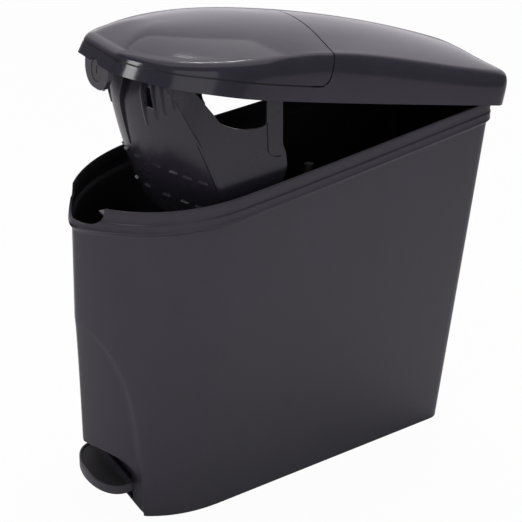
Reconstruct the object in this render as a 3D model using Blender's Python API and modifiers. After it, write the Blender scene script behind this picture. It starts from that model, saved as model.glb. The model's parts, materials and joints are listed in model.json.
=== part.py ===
"""Pedal sanitary container with a hinged lid, a swinging flap and a modesty tray.

Metres, +Z up. The origin is the middle of the flat base, the nose points along -Y.
The lid's pieces are modelled shut and then swung open about the lid's hinge.
"""
import math

import bmesh
import bpy
from mathutils import Matrix, Vector

# Body: plan at the rim and at the base
RIM_LENGTH = 0.490
RIM_WIDTH = 0.1974
RIM_BOW = 0.1444
BASE_WIDTH = 0.1694
BASE_BOW = 0.1342
NOSE_LEAN = 0.0010
BACK_LEAN = 0.0043
CORNER_RADIUS = 0.018
SIDE_TAPER_SHARE = 0.029
BOW_FULLNESS = 2.28
BOW_POINT = 1.40
BOW_STEPS = 20
SIDE_STEPS = 4
CORNER_STEPS = 4

# Body: heights and walls
RIM_NOSE_HEIGHT = 0.3738
RIM_SLOPE_SHARE = 0.1513
RIM_KNEE_BACK = 0.0172
RIM_KNEE_SPREAD = 0.0851
WALL = 0.0025
SKIRT_LIFT = 0.0005
FLOOR_HEIGHT = 0.058
FLOOR_THICKNESS = 0.0025
SEAT_GAP = 0.0003
OVERRUN = 0.010

# Rim band: depth below the rim and how far it stands out, row by row
RIM_EDGE = 0.0007
LEDGE_DEPTH = 0.0135
LEDGE_OUT = 0.0014
BEAD_DEPTH = 0.0232
BEAD_OUT = 0.0024
BAND_DEPTH = 0.0275
BAND_TUCK = 0.0012
BEAD_DIP = 0.0060
BEAD_DIP_WIDTH = 0.030

# Toe recess in the nose
RECESS_HEIGHT = 0.239
RECESS_CHEEK = 0.0212
RECESS_DRAW = 0.0072
RECESS_DRAW_POWER = 0.7
RECESS_SIDE_SHARE = 0.05
RECESS_ARCH_POWER = 4.4
RECESS_ARCH_ROOT = 2.3
RECESS_EDGE = 0.006
RECESS_ROWS = 15
COVE_HEIGHT = 0.082
COVE_DEPTH = 0.051
COVE_POWER = 3.4
COVE_EDGE = 0.003
COVE_INSET = 0.0015

# Notch in the rim for the lock boss, latch slot and keeper
NOTCH_WIDTH = 0.076
NOTCH_DEPTH = 0.0205
NOTCH_RADIUS = 0.010
SLOT_WIDTH = 0.022
SLOT_HEIGHT = 0.0025
SLOT_DROP = 0.005
KEEPER_INSIDE = 0.016
KEEPER_DEPTH = 0.010
KEEPER_THICKNESS = 0.0025

# Pedal, its axle and the lever behind it
AXLE_BACK = 0.130
AXLE_HEIGHT = 0.0275
AXLE_RADIUS = 0.003
CLIP_RADIUS = 0.0058
CLIP_THICKNESS = 0.0012
RUNNING_GAP = 0.0003
PAD_WIDTH = 0.095
PAD_FRONT = 0.0065
PAD_LENGTH = 0.0385
PAD_FLANK = 0.0050
PAD_BOW_POWER = 0.82
PAD_HEIGHT = 0.0405
PAD_THICKNESS = 0.0115
PAD_STEPS = 16
PAD_LIP = 0.0016
PAD_LIP_INSET = 0.0030
NECK_WIDTH = 0.058
LEVER_THICKNESS = 0.009
LEVER_DROP = 0.0005
SLOT_SIDE_GAP = 0.003
SLOT_TOP = 0.040
SLOT_FOOT = 0.0045
HUB_RADIUS = 0.0085
CRADLE_WIDTH = 0.004
ARM_WIDTH = 0.018
PEDAL_BEVEL = 0.0022

# Push rod
ROD_INSET = 0.0287
ROD_BACK = 0.242
ROD_RADIUS = 0.0025
FOOT_RADIUS = 0.0060
FOOT_HEIGHT = 0.010
FOOT_PIN_RADIUS = 0.0010
CAP_RADIUS = 0.0048
CAP_HEIGHT = 0.012
CAP_WALL = 0.002
GUIDE_HEIGHT = 0.010
GUIDE_LENGTH = 0.018
GUIDE_NOSE = 0.0065
LOW_GUIDE_SHARE = 0.45
HIGH_GUIDE_SHARE = 0.86
ROD_LOST_MOTION = 0.003

# Base cover and its screws
COVER_THICKNESS = 0.003
SCREW_HEAD_RADIUS = 0.0034
SCREW_HEAD_HEIGHT = 0.0015
SCREW_RADIUS = 0.0015
SCREW_LENGTH = 0.012
BOSS_RADIUS = 0.0045
SCREW_GAP = 0.0003
HEAD_CROWN_SHARE = 0.86
SCREW_BACK_SHARES = (0.153, 0.6225, 0.9286)
SCREW_EDGE = 0.014

# Lid: hinge, skirt and dome
LID_RAISE_DEGREES = 18.03
HINGE_BEHIND = 0.0085
HINGE_DROP = 0.0484
PIN_RADIUS = 0.003
PIN_CAP_RADIUS = 0.0050
PIN_CAP_LENGTH = 0.0045
PIN_ENTRY_SHARE = 0.6
KNUCKLE_RADIUS = 0.0058
EAR_WIDTH = 0.008
EAR_SIDE = 0.022
EAR_FOOT_REACH = 0.010
LID_LAP = 0.0105
NOSE_DROP = 0.0026
NOSE_DROP_START = 0.105
NOSE_DROP_RUN = 0.085
LID_GAP = 0.0024
LID_WALL = 0.0022
LID_NOSE_CUT = 0.0165
NOSE_ROUND = 0.002
CREST_RISE = 0.0351
CREST_FALL = 0.0521
CREST_BACK = 0.410
CREST_RUN = 0.325
CREST_POWER = 2.05
CORE_DROP = 0.120
SPINE_FRONT = 0.075
SPINE_BACK = 0.445
SHOULDER_NOSE = 0.0230
SHOULDER_SIDE = 0.052
SHOULDER_TAIL = 0.037
SHOULDER_RISE_BACK = 0.205
INSET_NOSE = 0.0098
INSET_SIDE = 0.0130
WALL_LEAN_SHARE = 0.36
CROWN_STEPS = 6

# Flap seam
BAND_HEIGHT = 0.0150
BAND_NOSE_HEIGHT = 0.0115
SEAM_GAP = 0.0016
SEAM_SIDE_BACK = 0.2205
SEAM_BOW = 0.0015
SEAM_BOW_REACH = 0.088
SEAM_BOW_POWER = 3.5
SEAM_RADIUS = 0.013
SEAM_TOP = 0.560
SEAM_STATIONS = 12

# Flap hinge
FLAP_AXIS_BACK = 0.275
FLAP_AXIS_RISE = 0.0146
FLAP_PIN_RADIUS = 0.002
FLAP_PIN_LENGTH = 0.022
FLAP_EAR_RADIUS = 0.006
FLAP_EAR_WIDTH = 0.006
FLAP_EAR_DROP = 0.022
FLAP_LEG_BACK = 0.182
FLAP_LEG_LENGTH = 0.014
LUG_WIDTH = 0.004
SEAT_WIDTH = 0.0036
SEAT_REACH = 0.0075
SEAT_THICKNESS = 0.0020
SEAT_DROP = 0.0018
BUFFER_RADIUS = 0.0016
BUFFER_BACK_SHARES = (0.204, 0.3367)

# Tray
TRAY_INSET = 0.0157
TRAY_CLEAR = 0.0105
TRAY_WALL = 0.0022
TRAY_TOP = 0.390
TRAY_FOOT = 0.236
TRAY_EDGE_HEIGHT = 0.3482
TRAY_EDGE_BACK = 0.0791
TRAY_RAKE_SHARE = 0.929
TRAY_BULGE = 0.0605
TRAY_BULGE_LOSS = 0.027
TRAY_BULGE_RUN = 0.110
TRAY_NOSE_BACK = 0.050
TRAY_ROWS = 10
TRAY_STEPS = 8
FIN_HEIGHT = 0.0030
FIN_WIDTH = 0.0016
FIN_SIDE_SHARES = (-0.6265, -0.3614, 0.1687, 0.4337, 0.6627)
FIN_FADE_SHARE = 0.1
FIN_FOOT = 0.306
CLEAT_WIDTH = 0.010
CLEAT_HEIGHT = 0.0035
CLEAT_REACH = 0.0014
CLEAT_RISE = 0.004
CLEAT_PITCH = 0.037
CLEAT_ROWS = 2
CLEAT_SIDE_SHARES = (-0.6024, -0.3133, -0.0241, 0.2651, 0.5542)
ARM_TOP_FRONT = 0.1643
ARM_TOP_BACK = 0.1823
ARM_TOP_RISE = 0.0310
PLATE_SADDLE_BACK = 0.144
PLATE_SADDLE_HEIGHT = 0.344
PLATE_BULGE_BACK = 0.2075
PLATE_BULGE_HEIGHT = 0.330
PLATE_LOBE = 0.020
TRAY_SCREW_RADIUS = 0.0014
TRAY_SCREW_HEAD = 0.0030
TRAY_SCREW_LENGTH = 0.0045
TRAY_POST_RADIUS = 0.0036
TRAY_HOLE_DEPTH = 0.0030
FLANGE_THICKNESS = 0.0022

# Lock boss and lock
TONGUE_WIDTH = 0.048
TONGUE_DROP = 0.0185
TONGUE_RISE = 0.0140
TONGUE_RADIUS = 0.015
TONGUE_THICKNESS = 0.0045
LOCK_BACK = 0.0173
LOCK_HEIGHT = 0.3625
LOCK_TILT_DEGREES = 13.3
LOCK_RADIUS = 0.0075
LOCK_FACE_RADIUS = 0.0110
LOCK_FACE_THICKNESS = 0.0012
LOCK_POCKET = 0.0018
LOCK_REAR = 0.0058
KEYWAY_WIDTH = 0.0016
KEYWAY_LENGTH = 0.0080
KEYWAY_DEPTH = 0.0040
NUT_RADIUS = 0.0105
NUT_THICKNESS = 0.0022
CAM_LENGTH = 0.022
CAM_WIDTH = 0.008
CAM_THICKNESS = 0.0018
CAM_SCREW_RADIUS = 0.0030
CAM_SCREW_HEIGHT = 0.0016
ROUND_SIDES = 24
SMALL_SIDES = 14
SIDES = ((-1, "left"), (1, "right"))

# Places that follow from the sizes above
NOSE = -RIM_LENGTH / 2
BACK = RIM_LENGTH / 2
BASE_NOSE = NOSE - NOSE_LEAN
BASE_BACK = BACK - BACK_LEAN
HINGE_Y = BACK + HINGE_BEHIND
AXLE_Y = NOSE + AXLE_BACK
ROD_Y = NOSE + ROD_BACK
FLAP_AXIS_Y = NOSE + FLAP_AXIS_BACK
LID_OUT = LID_GAP + LID_WALL
RECESS_WIDTH = BASE_WIDTH - RECESS_CHEEK * 2
ROD_SIDE = RIM_WIDTH / 2 - ROD_INSET
TRAY_HALF = RIM_WIDTH / 2 - TRAY_INSET
CLEAT_LOW = TRAY_FOOT + CLEAT_RISE

PARTS = "sanitary_container"
CUTTERS = "sanitary_container_cutters"


def rim_height(y):
    """Height of the rim's top edge, level at the nose and climbing to the back."""
    bend = math.log1p(math.exp((y - NOSE - RIM_KNEE_BACK) / RIM_KNEE_SPREAD))
    return RIM_NOSE_HEIGHT + RIM_SLOPE_SHARE * RIM_KNEE_SPREAD * bend


HINGE_Z = rim_height(BACK) - HINGE_DROP
CREST_HEIGHT = rim_height(BACK) + CREST_RISE
FLAP_AXIS_HEIGHT = rim_height(FLAP_AXIS_Y) + FLAP_AXIS_RISE
FLAP_EAR_LOW = FLAP_AXIS_HEIGHT - FLAP_EAR_DROP
ARM_TOP = rim_height(NOSE + ARM_TOP_BACK) + ARM_TOP_RISE


def half_outline(nose, back, width, bow):
    """One side of the plan from the nose's tip to the middle of the back."""
    half = width / 2
    points = []
    for step in range(BOW_STEPS + 1):
        share = (step / BOW_STEPS) ** 1.6
        reach = (1 - (1 - share) ** BOW_FULLNESS) ** (1 / BOW_POINT)
        points.append(Vector((half * reach, nose + bow * share)))
    start = nose + bow
    end = back - CORNER_RADIUS
    for step in range(1, SIDE_STEPS + 1):
        y = start + (end - start) * step / SIDE_STEPS
        points.append(Vector((half - SIDE_TAPER_SHARE * (y - start), y)))
    centre = points[-1] - Vector((CORNER_RADIUS, 0))
    for step in range(1, CORNER_STEPS + 1):
        angle = math.pi / 2 * step / CORNER_STEPS
        points.append(centre + CORNER_RADIUS * Vector((math.cos(angle), math.sin(angle))))
    points.append(Vector((0, back)))
    return points


def outward(points):
    """Unit normals of a half outline; the two ends lie on the middle plane."""
    normals = []
    for index in range(len(points)):
        before = points[max(index - 1, 0)]
        after = points[min(index + 1, len(points) - 1)]
        run = after - before
        normals.append(Vector((run.y, -run.x)).normalized())
    normals[0] = Vector((0, -1))
    normals[-1] = Vector((0, 1))
    return normals


RIM_PLAN = half_outline(NOSE, BACK, RIM_WIDTH, RIM_BOW)
BASE_PLAN = half_outline(BASE_NOSE, BASE_BACK, BASE_WIDTH, BASE_BOW)
RIM_NORMALS = outward(RIM_PLAN)


def plan_half_width(y):
    """Half width of the rim's plan at a place along the body."""
    for before, after in zip(RIM_PLAN, RIM_PLAN[1:]):
        if before.y <= y <= after.y and after.y > before.y:
            share = (y - before.y) / (after.y - before.y)
            return before.x + (after.x - before.x) * share
    return 0.0


def wall_half_width(y, z):
    """Half width of the body's outer wall at a place and height."""
    draft = (RIM_WIDTH - BASE_WIDTH) / 2
    return plan_half_width(y) - draft * (1 - z / rim_height(y))


def inner_half_width(y, z):
    """Half width of the body's inside below the band."""
    return wall_half_width(y, z) - WALL - BAND_TUCK * z / (rim_height(y) - BAND_DEPTH)


def ease(share):
    share = min(max(share, 0.0), 1.0)
    return share * share * (3 - 2 * share)


def smooth_max(first, second, blend):
    """The larger of two lengths, with the change rounded over blend."""
    middle = (first + second) / 2
    return middle + math.hypot((first - second) / 2, blend / 2)


def recess_half_width(z):
    """Half width of the arch shaped recess in the nose at one height."""
    share = min(z / RECESS_HEIGHT, 1.0)
    arch = (1 - share ** RECESS_ARCH_POWER) ** (1 / RECESS_ARCH_ROOT)
    return RECESS_WIDTH / 2 * arch * (1 - RECESS_SIDE_SHARE * share)


def cove_y(z):
    """Back of the deep cove over the pedal."""
    share = min(z / COVE_HEIGHT, 1.0)
    return BASE_NOSE + COVE_DEPTH * math.sqrt(1 - share ** COVE_POWER)


def wall_point(index, z, out=0.0, recessed=True):
    """A point of the body's outer wall on one station of the plan."""
    low = BASE_PLAN[index]
    high = RIM_PLAN[index]
    place = low + (high - low) * (z / rim_height(high.y)) + RIM_NORMALS[index] * out
    if recessed and z < RECESS_HEIGHT and place.y < 0:
        inside = recess_half_width(z) - place.x
        draw = RECESS_DRAW * (1 - z / RECESS_HEIGHT) ** RECESS_DRAW_POWER
        place -= RIM_NORMALS[index] * draw * ease(inside / RECESS_EDGE)
        if z < COVE_HEIGHT and inside > COVE_INSET:
            place.y = smooth_max(place.y, cove_y(z), COVE_EDGE)
    x = 0.0 if index in (0, len(RIM_PLAN) - 1) else place.x
    return Vector((x, place.y, z))


def wipe_scene():
    """Remove whatever the open file holds."""
    for item in list(bpy.data.objects):
        bpy.data.objects.remove(item, do_unlink=True)
    for name in (PARTS, CUTTERS):
        group = bpy.data.collections.get(name)
        if group:
            bpy.data.collections.remove(group)
        bpy.context.scene.collection.children.link(bpy.data.collections.new(name))


def finish_name(name, colour, roughness, metallic=0.0):
    """A Principled material of its own for one piece."""
    material = bpy.data.materials.new(name + "_finish")
    material.use_nodes = True
    shader = material.node_tree.nodes["Principled BSDF"]
    shader.inputs["Base Color"].default_value = (*colour, 1.0)
    shader.inputs["Roughness"].default_value = roughness
    shader.inputs["Metallic"].default_value = metallic
    return material


CHARCOAL = (0.047, 0.047, 0.053)
DARK = (0.020, 0.020, 0.023)
STEEL = (0.55, 0.55, 0.56)
RUBBER = (0.012, 0.012, 0.012)


def keep(body, colour=CHARCOAL, roughness=0.35, metallic=0.0):
    """File an object as a piece of the container."""
    body.data.materials.clear()
    body.data.materials.append(finish_name(body.name, colour, roughness, metallic))
    body.data.shade_smooth()
    body.data.set_sharp_from_angle(angle=math.radians(35))
    bpy.data.collections[PARTS].objects.link(body)
    return body


def tool(body):
    """File an object as a cutter or as stock that is joined to a piece."""
    body.hide_render = True
    body.display_type = "WIRE"
    bpy.data.collections[CUTTERS].objects.link(body)
    return body


def from_bmesh(name, shape):
    """Turn a bmesh into an object that isn't filed yet."""
    bmesh.ops.recalc_face_normals(shape, faces=shape.faces)
    mesh = bpy.data.meshes.new(name)
    shape.to_mesh(mesh)
    shape.free()
    return bpy.data.objects.new(name, mesh)


def box(name, low, high):
    """A block between two corners."""
    shape = bmesh.new()
    low, high = Vector(low), Vector(high)
    size = high - low
    place = Matrix.Translation((low + high) / 2) @ Matrix.Diagonal((*size, 1.0))
    bmesh.ops.create_cube(shape, size=1.0, matrix=place)
    return from_bmesh(name, shape)


def rod(name, start, end, radius, sides=SMALL_SIDES, end_radius=None):
    """A round bar, or a cone, between two points."""
    start, end = Vector(start), Vector(end)
    run = end - start
    turn = run.to_track_quat("Z", "Y").to_matrix().to_4x4()
    shape = bmesh.new()
    bmesh.ops.create_cone(
        shape,
        cap_ends=True,
        segments=sides,
        radius1=radius,
        radius2=radius if end_radius is None else end_radius,
        depth=run.length,
        matrix=Matrix.Translation((start + end) / 2) @ turn,
    )
    return from_bmesh(name, shape)


FACING_X = Matrix(((0, 0, 1, 0), (1, 0, 0, 0), (0, 1, 0, 0), (0, 0, 0, 1)))
FACING_Z = Matrix.Identity(4)


def plate(name, points, low, high, facing=FACING_Z):
    """A flat outline, filled and given its thickness between two levels."""
    curve = bpy.data.curves.new(name + "_outline", "CURVE")
    curve.dimensions = "2D"
    curve.fill_mode = "BOTH"
    curve.extrude = (high - low) / 2
    line = curve.splines.new("POLY")
    line.points.add(len(points) - 1)
    for knot, point in zip(line.points, points):
        knot.co = (point[0], point[1], 0.0, 1.0)
    line.use_cyclic_u = True
    outline = bpy.data.objects.new(name + "_outline", curve)
    outline.matrix_world = facing @ Matrix.Translation((0, 0, (low + high) / 2))
    bpy.context.scene.collection.objects.link(outline)
    bpy.context.view_layer.update()
    ready = outline.evaluated_get(bpy.context.evaluated_depsgraph_get())
    mesh = bpy.data.meshes.new_from_object(ready)
    mesh.transform(outline.matrix_world)
    bpy.data.objects.remove(outline, do_unlink=True)
    shape = bmesh.new()
    shape.from_mesh(mesh)
    bmesh.ops.remove_doubles(shape, verts=shape.verts, dist=0.00001)
    bpy.data.meshes.remove(mesh)
    return from_bmesh(name, shape)


def surface(name, rows, thickness, mirrored=True, offset=-1.0):
    """A shell over a grid of points, thickened inward."""
    shape = bmesh.new()
    grid = [[shape.verts.new(point) for point in row] for row in rows]
    for upper, lower in zip(grid, grid[1:]):
        for column in range(len(upper) - 1):
            corners = (upper[column], lower[column], lower[column + 1], upper[column + 1])
            shape.faces.new(corners)
    bmesh.ops.remove_doubles(shape, verts=shape.verts, dist=0.00001)
    mesh = bpy.data.meshes.new(name)
    shape.to_mesh(mesh)
    shape.free()
    body = bpy.data.objects.new(name, mesh)
    if mirrored:
        mirror = body.modifiers.new("other_side", "MIRROR")
        mirror.use_clip = True
        mirror.merge_threshold = 0.00005
    shell = body.modifiers.new("wall", "SOLIDIFY")
    shell.thickness = thickness
    shell.offset = offset
    shell.use_even_offset = True
    return body


def loft(name, rings):
    """A closed solid through rings of equal counts, capped at both ends."""
    shape = bmesh.new()
    grid = [[shape.verts.new(point) for point in ring] for ring in rings]
    for first, second in zip(grid, grid[1:]):
        for index in range(len(first)):
            after = (index + 1) % len(first)
            shape.faces.new((first[index], first[after], second[after], second[index]))
    shape.faces.new(grid[0])
    shape.faces.new(list(reversed(grid[-1])))
    return from_bmesh(name, shape)


def boolean(body, other, operation):
    step = body.modifiers.new(other.name, "BOOLEAN")
    step.operation = operation
    step.solver = "EXACT"
    step.object = other
    return body


def cut(body, other):
    """Take a cutter out of a piece."""
    return boolean(body, tool(other), "DIFFERENCE")


def join(body, other):
    """Mould more stock onto a piece."""
    return boolean(body, tool(other), "UNION")


def trim(body, other):
    """Keep only what lies inside another shape."""
    return boolean(body, tool(other), "INTERSECT")


def merged(name, bodies):
    """Several separate solids under one name."""
    shape = bmesh.new()
    for body in bodies:
        mesh = body.data.copy()
        mesh.transform(body.matrix_world)
        shape.from_mesh(mesh)
        bpy.data.meshes.remove(mesh)
        bpy.data.objects.remove(body, do_unlink=True)
    return from_bmesh(name, shape)


def both_sides(half):
    """A closed outline from a half outline that starts and ends on the middle."""
    return list(half) + [Vector((-p.x, p.y)) for p in reversed(half[1:-1])]


def baked(body):
    """Turn an object and its modifiers into a plain mesh object."""
    bpy.context.scene.collection.objects.link(body)
    bpy.context.view_layer.update()
    ready = body.evaluated_get(bpy.context.evaluated_depsgraph_get())
    mesh = bpy.data.meshes.new_from_object(ready)
    mesh.transform(body.matrix_world)
    name = body.name
    bpy.data.objects.remove(body, do_unlink=True)
    shape = bmesh.new()
    shape.from_mesh(mesh)
    bpy.data.meshes.remove(mesh)
    return from_bmesh(name, shape)


def within(body, limit):
    """Stock cut down to a limiting shape before it is moulded on."""
    bpy.context.scene.collection.objects.link(limit)
    boolean(body, limit, "INTERSECT")
    ready = baked(body)
    bpy.data.objects.remove(limit, do_unlink=True)
    return ready


def clean_half(half):
    """Drop points that crowd together or cross the middle."""
    kept = [Vector((0, half[0].y))]
    for point in half[1:-1]:
        if point.x > WALL / 2 and (point - kept[-1]).length > WALL / 2:
            kept.append(point)
    kept.append(Vector((0, half[-1].y)))
    return kept


def recess_outline(z, inset):
    """The outline at one height with an even inset from the recess as well."""
    half = [Vector((p.x, p.y)) for p in (wall_point(i, z) for i in range(len(RIM_PLAN)))]
    normals = outward(half)
    moved = [point - normal * inset for point, normal in zip(half, normals)]
    return clean_half(moved)


def tub_rows():
    """Grid of the body's outer face, from the rim down to the base."""
    rows = []
    band = (
        (0.0, -RIM_EDGE),
        (RIM_EDGE, 0.0),
        (LEDGE_DEPTH, LEDGE_OUT / 3),
        (LEDGE_DEPTH + LEDGE_OUT, LEDGE_OUT),
        (BEAD_DEPTH - BEAD_OUT / 2, LEDGE_OUT + RIM_EDGE / 2),
        (BEAD_DEPTH, BEAD_OUT),
        (BEAD_DEPTH + BEAD_OUT / 2, BEAD_OUT - RIM_EDGE / 2),
        (BAND_DEPTH, -BAND_TUCK),
    )
    for depth, out in band:
        row = []
        for index, point in enumerate(RIM_PLAN):
            top = rim_height(point.y)
            dip = BEAD_DIP * math.exp(-((point.x / BEAD_DIP_WIDTH) ** 2)) if point.y < 0 else 0.0
            share = max(depth - LEDGE_DEPTH - LEDGE_OUT, 0.0) / (BAND_DEPTH - LEDGE_DEPTH - LEDGE_OUT)
            row.append(wall_point(index, top - depth - dip * share, out, recessed=False))
        rows.append(row)
    nose_top = rim_height(NOSE) - BAND_DEPTH - BEAD_DIP
    heights = [(nose_top + RECESS_HEIGHT) / 2]
    for step in range(RECESS_ROWS):
        share = 1 - (step / (RECESS_ROWS - 1)) ** 1.5
        heights.append(SKIRT_LIFT + (RECESS_HEIGHT - SKIRT_LIFT) * share)
    for height in heights:
        row = []
        for index, point in enumerate(RIM_PLAN):
            climb = (rim_height(point.y) - BAND_DEPTH - BEAD_DIP) / nose_top
            z = SKIRT_LIFT + (height - SKIRT_LIFT) * climb
            tuck = BAND_TUCK * height / nose_top
            row.append(wall_point(index, z, -tuck))
        rows.append(row)
    return rows


def screw_places():
    """Where the base cover is screwed, left and right."""
    places = []
    for back in (share * RIM_LENGTH for share in SCREW_BACK_SHARES):
        y = BASE_NOSE + back
        side = wall_half_width(y, 0.0) - SCREW_EDGE
        places += [Vector((side, y, 0)), Vector((-side, y, 0))]
    return places


def tub_shell():
    """Body shell with its raised floor, screw bosses, axle cradles and hinge lugs."""
    body = surface("tub_shell", tub_rows(), WALL)
    deck = plate(
        "floor_stock",
        both_sides(recess_outline(FLOOR_HEIGHT, WALL / 2)),
        FLOOR_HEIGHT,
        FLOOR_HEIGHT + FLOOR_THICKNESS,
    )
    join(body, deck)
    posts = []
    for index, place in enumerate(screw_places()):
        low = Vector((place.x, place.y, COVER_THICKNESS + SEAT_GAP))
        high = Vector((place.x, place.y, FLOOR_HEIGHT + FLOOR_THICKNESS / 2))
        posts.append(rod(f"post_{index}", low, high, BOSS_RADIUS, SMALL_SIDES))
    join(body, merged("screw_posts", posts))
    cradles = []
    for side in (-1, 1):
        inner = NECK_WIDTH / 2 + RUNNING_GAP * 2
        low = min(side * inner, side * (inner + CRADLE_WIDTH))
        cradles.append(box(
            f"cradle_{side}",
            (low, AXLE_Y - HUB_RADIUS, AXLE_HEIGHT - HUB_RADIUS),
            (low + CRADLE_WIDTH, AXLE_Y + HUB_RADIUS, FLOOR_HEIGHT + FLOOR_THICKNESS / 2),
        ))
    join(body, merged("axle_cradles", cradles))
    lugs = []
    for side in (-1, 1):
        inner = EAR_SIDE + EAR_WIDTH / 2 + RUNNING_GAP
        low = min(side * inner, side * (inner + EAR_WIDTH))
        profile = knuckle_profile(HINGE_Y, HINGE_Z, KNUCKLE_RADIUS, BACK - WALL - BACK_LEAN / 4, -1)
        lugs.append(plate(f"lug_{side}", profile, low, low + EAR_WIDTH, FACING_X))
    join(body, merged("hinge_lugs", lugs))
    join(body, keeper_stock())
    holes = [rod(
        f"screw_hole_{index}",
        Vector((place.x, place.y, 0)),
        Vector((place.x, place.y, SCREW_LENGTH + SCREW_HEAD_HEIGHT + SCREW_GAP * 4)),
        SCREW_RADIUS + SCREW_GAP,
    ) for index, place in enumerate(screw_places())]
    cut(body, merged("screw_pilots", holes))
    reach = Vector((NECK_WIDTH / 2 + CRADLE_WIDTH + OVERRUN, 0, 0))
    middle = Vector((0, AXLE_Y, AXLE_HEIGHT))
    cut(body, rod("axle_bore", middle - reach, middle + reach, AXLE_RADIUS + RUNNING_GAP))
    hinge = Vector((0, HINGE_Y, HINGE_Z))
    cut(body, rod("hinge_bore", hinge - reach, hinge + reach, PIN_RADIUS + RUNNING_GAP))
    cut(body, box(
        "pedal_slot",
        (-NECK_WIDTH / 2 - SLOT_SIDE_GAP, BASE_NOSE + COVE_DEPTH - OVERRUN * 2, SLOT_FOOT),
        (NECK_WIDTH / 2 + SLOT_SIDE_GAP, BASE_NOSE + COVE_DEPTH + OVERRUN * 2, SLOT_TOP),
    ))
    cut(body, rod(
        "rod_hole",
        (ROD_SIDE, ROD_Y, FLOOR_HEIGHT - OVERRUN),
        (ROD_SIDE, ROD_Y, FLOOR_HEIGHT + OVERRUN),
        ROD_RADIUS + RUNNING_GAP * 2,
    ))
    cut(body, notch_stock())
    sill = rim_height(NOSE) - NOTCH_DEPTH - SLOT_DROP
    cut(body, box(
        "latch_slot",
        (-SLOT_WIDTH / 2, NOSE - OVERRUN, sill - SLOT_HEIGHT),
        (SLOT_WIDTH / 2, NOSE + OVERRUN, sill),
    ))
    return keep(body, roughness=0.34)


def knuckle_profile(y, z, radius, wall_y, side):
    """A hinge ear in side view: a round end and a web back to the wall."""
    points = []
    for step in range(SMALL_SIDES // 2 + 1):
        angle = math.pi / 2 - math.pi * step / (SMALL_SIDES // 2)
        points.append((y + radius * math.cos(angle) * -side, z + radius * math.sin(angle)))
    points.append((wall_y, z - radius * 2.4))
    points.append((wall_y, z + radius * 1.0))
    return points


def keeper_stock():
    """A bar across one end of the rim's notch; the lock's cam turns under it."""
    centre, out = lock_place()
    low = centre.z + out.z * cam_back() * -1 + CAM_WIDTH / 2 + SLOT_SIDE_GAP / 3
    rear = centre.y + cam_back() + CAM_THICKNESS + KEEPER_DEPTH / 2
    bar = box(
        "keeper",
        (KEEPER_INSIDE, rear - KEEPER_DEPTH, low),
        (RIM_WIDTH / 2, rear, low + KEEPER_THICKNESS),
    )
    half = [point - normal * WALL / 2 for point, normal in zip(RIM_PLAN, RIM_NORMALS)]
    limit = plate("keeper_limit", both_sides(clean_half(half)), low - OVERRUN, low + OVERRUN)
    return within(bar, limit)


def cam_back():
    """How far behind the tongue's face the cam lies."""
    return LOCK_POCKET + LOCK_REAR + SEAT_GAP


def edge_back(x):
    """How far behind the nose's tip the rim reaches a half width."""
    for before, after in zip(RIM_PLAN, RIM_PLAN[1:]):
        if before.x <= x <= after.x:
            share = (x - before.x) / (after.x - before.x)
            return before.y + (after.y - before.y) * share - NOSE
    return 0.0


def notch_stock():
    """A round cornered block that opens the rim at the nose."""
    half = NOTCH_WIDTH / 2
    sill = rim_height(NOSE) - NOTCH_DEPTH
    points = [(half + NOTCH_RADIUS / 2, sill + NOTCH_DEPTH + OVERRUN), (half, sill + NOTCH_DEPTH * 0.7)]
    for step in range(5):
        angle = -math.pi / 2 * step / 4
        points.append((
            half - NOTCH_RADIUS + NOTCH_RADIUS * math.cos(angle),
            sill + NOTCH_RADIUS + NOTCH_RADIUS * math.sin(angle),
        ))
    outline = points + [(-x, z) for x, z in reversed(points)]
    facing = Matrix(((1, 0, 0, 0), (0, 0, -1, 0), (0, 1, 0, 0), (0, 0, 0, 1)))
    back = NOSE + edge_back(half) + OVERRUN / 2
    return plate("rim_notch", outline, -back, -NOSE + OVERRUN, facing)


def base_cover():
    """Flat plate that closes the base from below and carries the container."""
    outline = both_sides(recess_outline(COVER_THICKNESS / 2, WALL + SEAT_GAP * 2))
    body = plate("base_cover", outline, 0.0, COVER_THICKNESS)
    for index, place in enumerate(screw_places()):
        sink = rod(
            f"sink_{index}",
            Vector((place.x, place.y, -OVERRUN)),
            Vector((place.x, place.y, SCREW_HEAD_HEIGHT + SCREW_GAP * 2)),
            SCREW_HEAD_RADIUS + SCREW_GAP,
        )
        cut(body, sink)
    holes = [rod(
        f"cover_hole_{index}",
        Vector((place.x, place.y, 0)),
        Vector((place.x, place.y, OVERRUN)),
        SCREW_RADIUS + SCREW_GAP,
    ) for index, place in enumerate(screw_places())]
    cut(body, merged("cover_holes", holes))
    return keep(body, DARK, 0.5)


def base_cover_screws():
    for index, place in enumerate(screw_places()):
        head_low = Vector((place.x, place.y, SCREW_GAP))
        head_high = head_low + Vector((0, 0, SCREW_HEAD_HEIGHT))
        screw = turned_screw(f"base_cover_screw_{index + 1}", head_low, head_high, SCREW_LENGTH)
        keep(screw, STEEL, 0.35, 1.0)


def turned(name, profile, place, direction, sides=SMALL_SIDES):
    """A turned solid: distances and radii, far end first, spun round an axis."""
    mesh = bpy.data.meshes.new(name)
    points = [(radius, 0.0, distance) for distance, radius in profile]
    mesh.from_pydata(points, [(index, index + 1) for index in range(len(points) - 1)], [])
    body = bpy.data.objects.new(name, mesh)
    spin = body.modifiers.new("turn", "SCREW")
    spin.steps = sides
    spin.render_steps = sides
    spin.use_merge_vertices = True
    spin.merge_threshold = 0.00001
    turn = Vector(direction).to_track_quat("Z", "Y").to_matrix().to_4x4()
    body.matrix_world = Matrix.Translation(Vector(place)) @ turn
    return body


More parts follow.
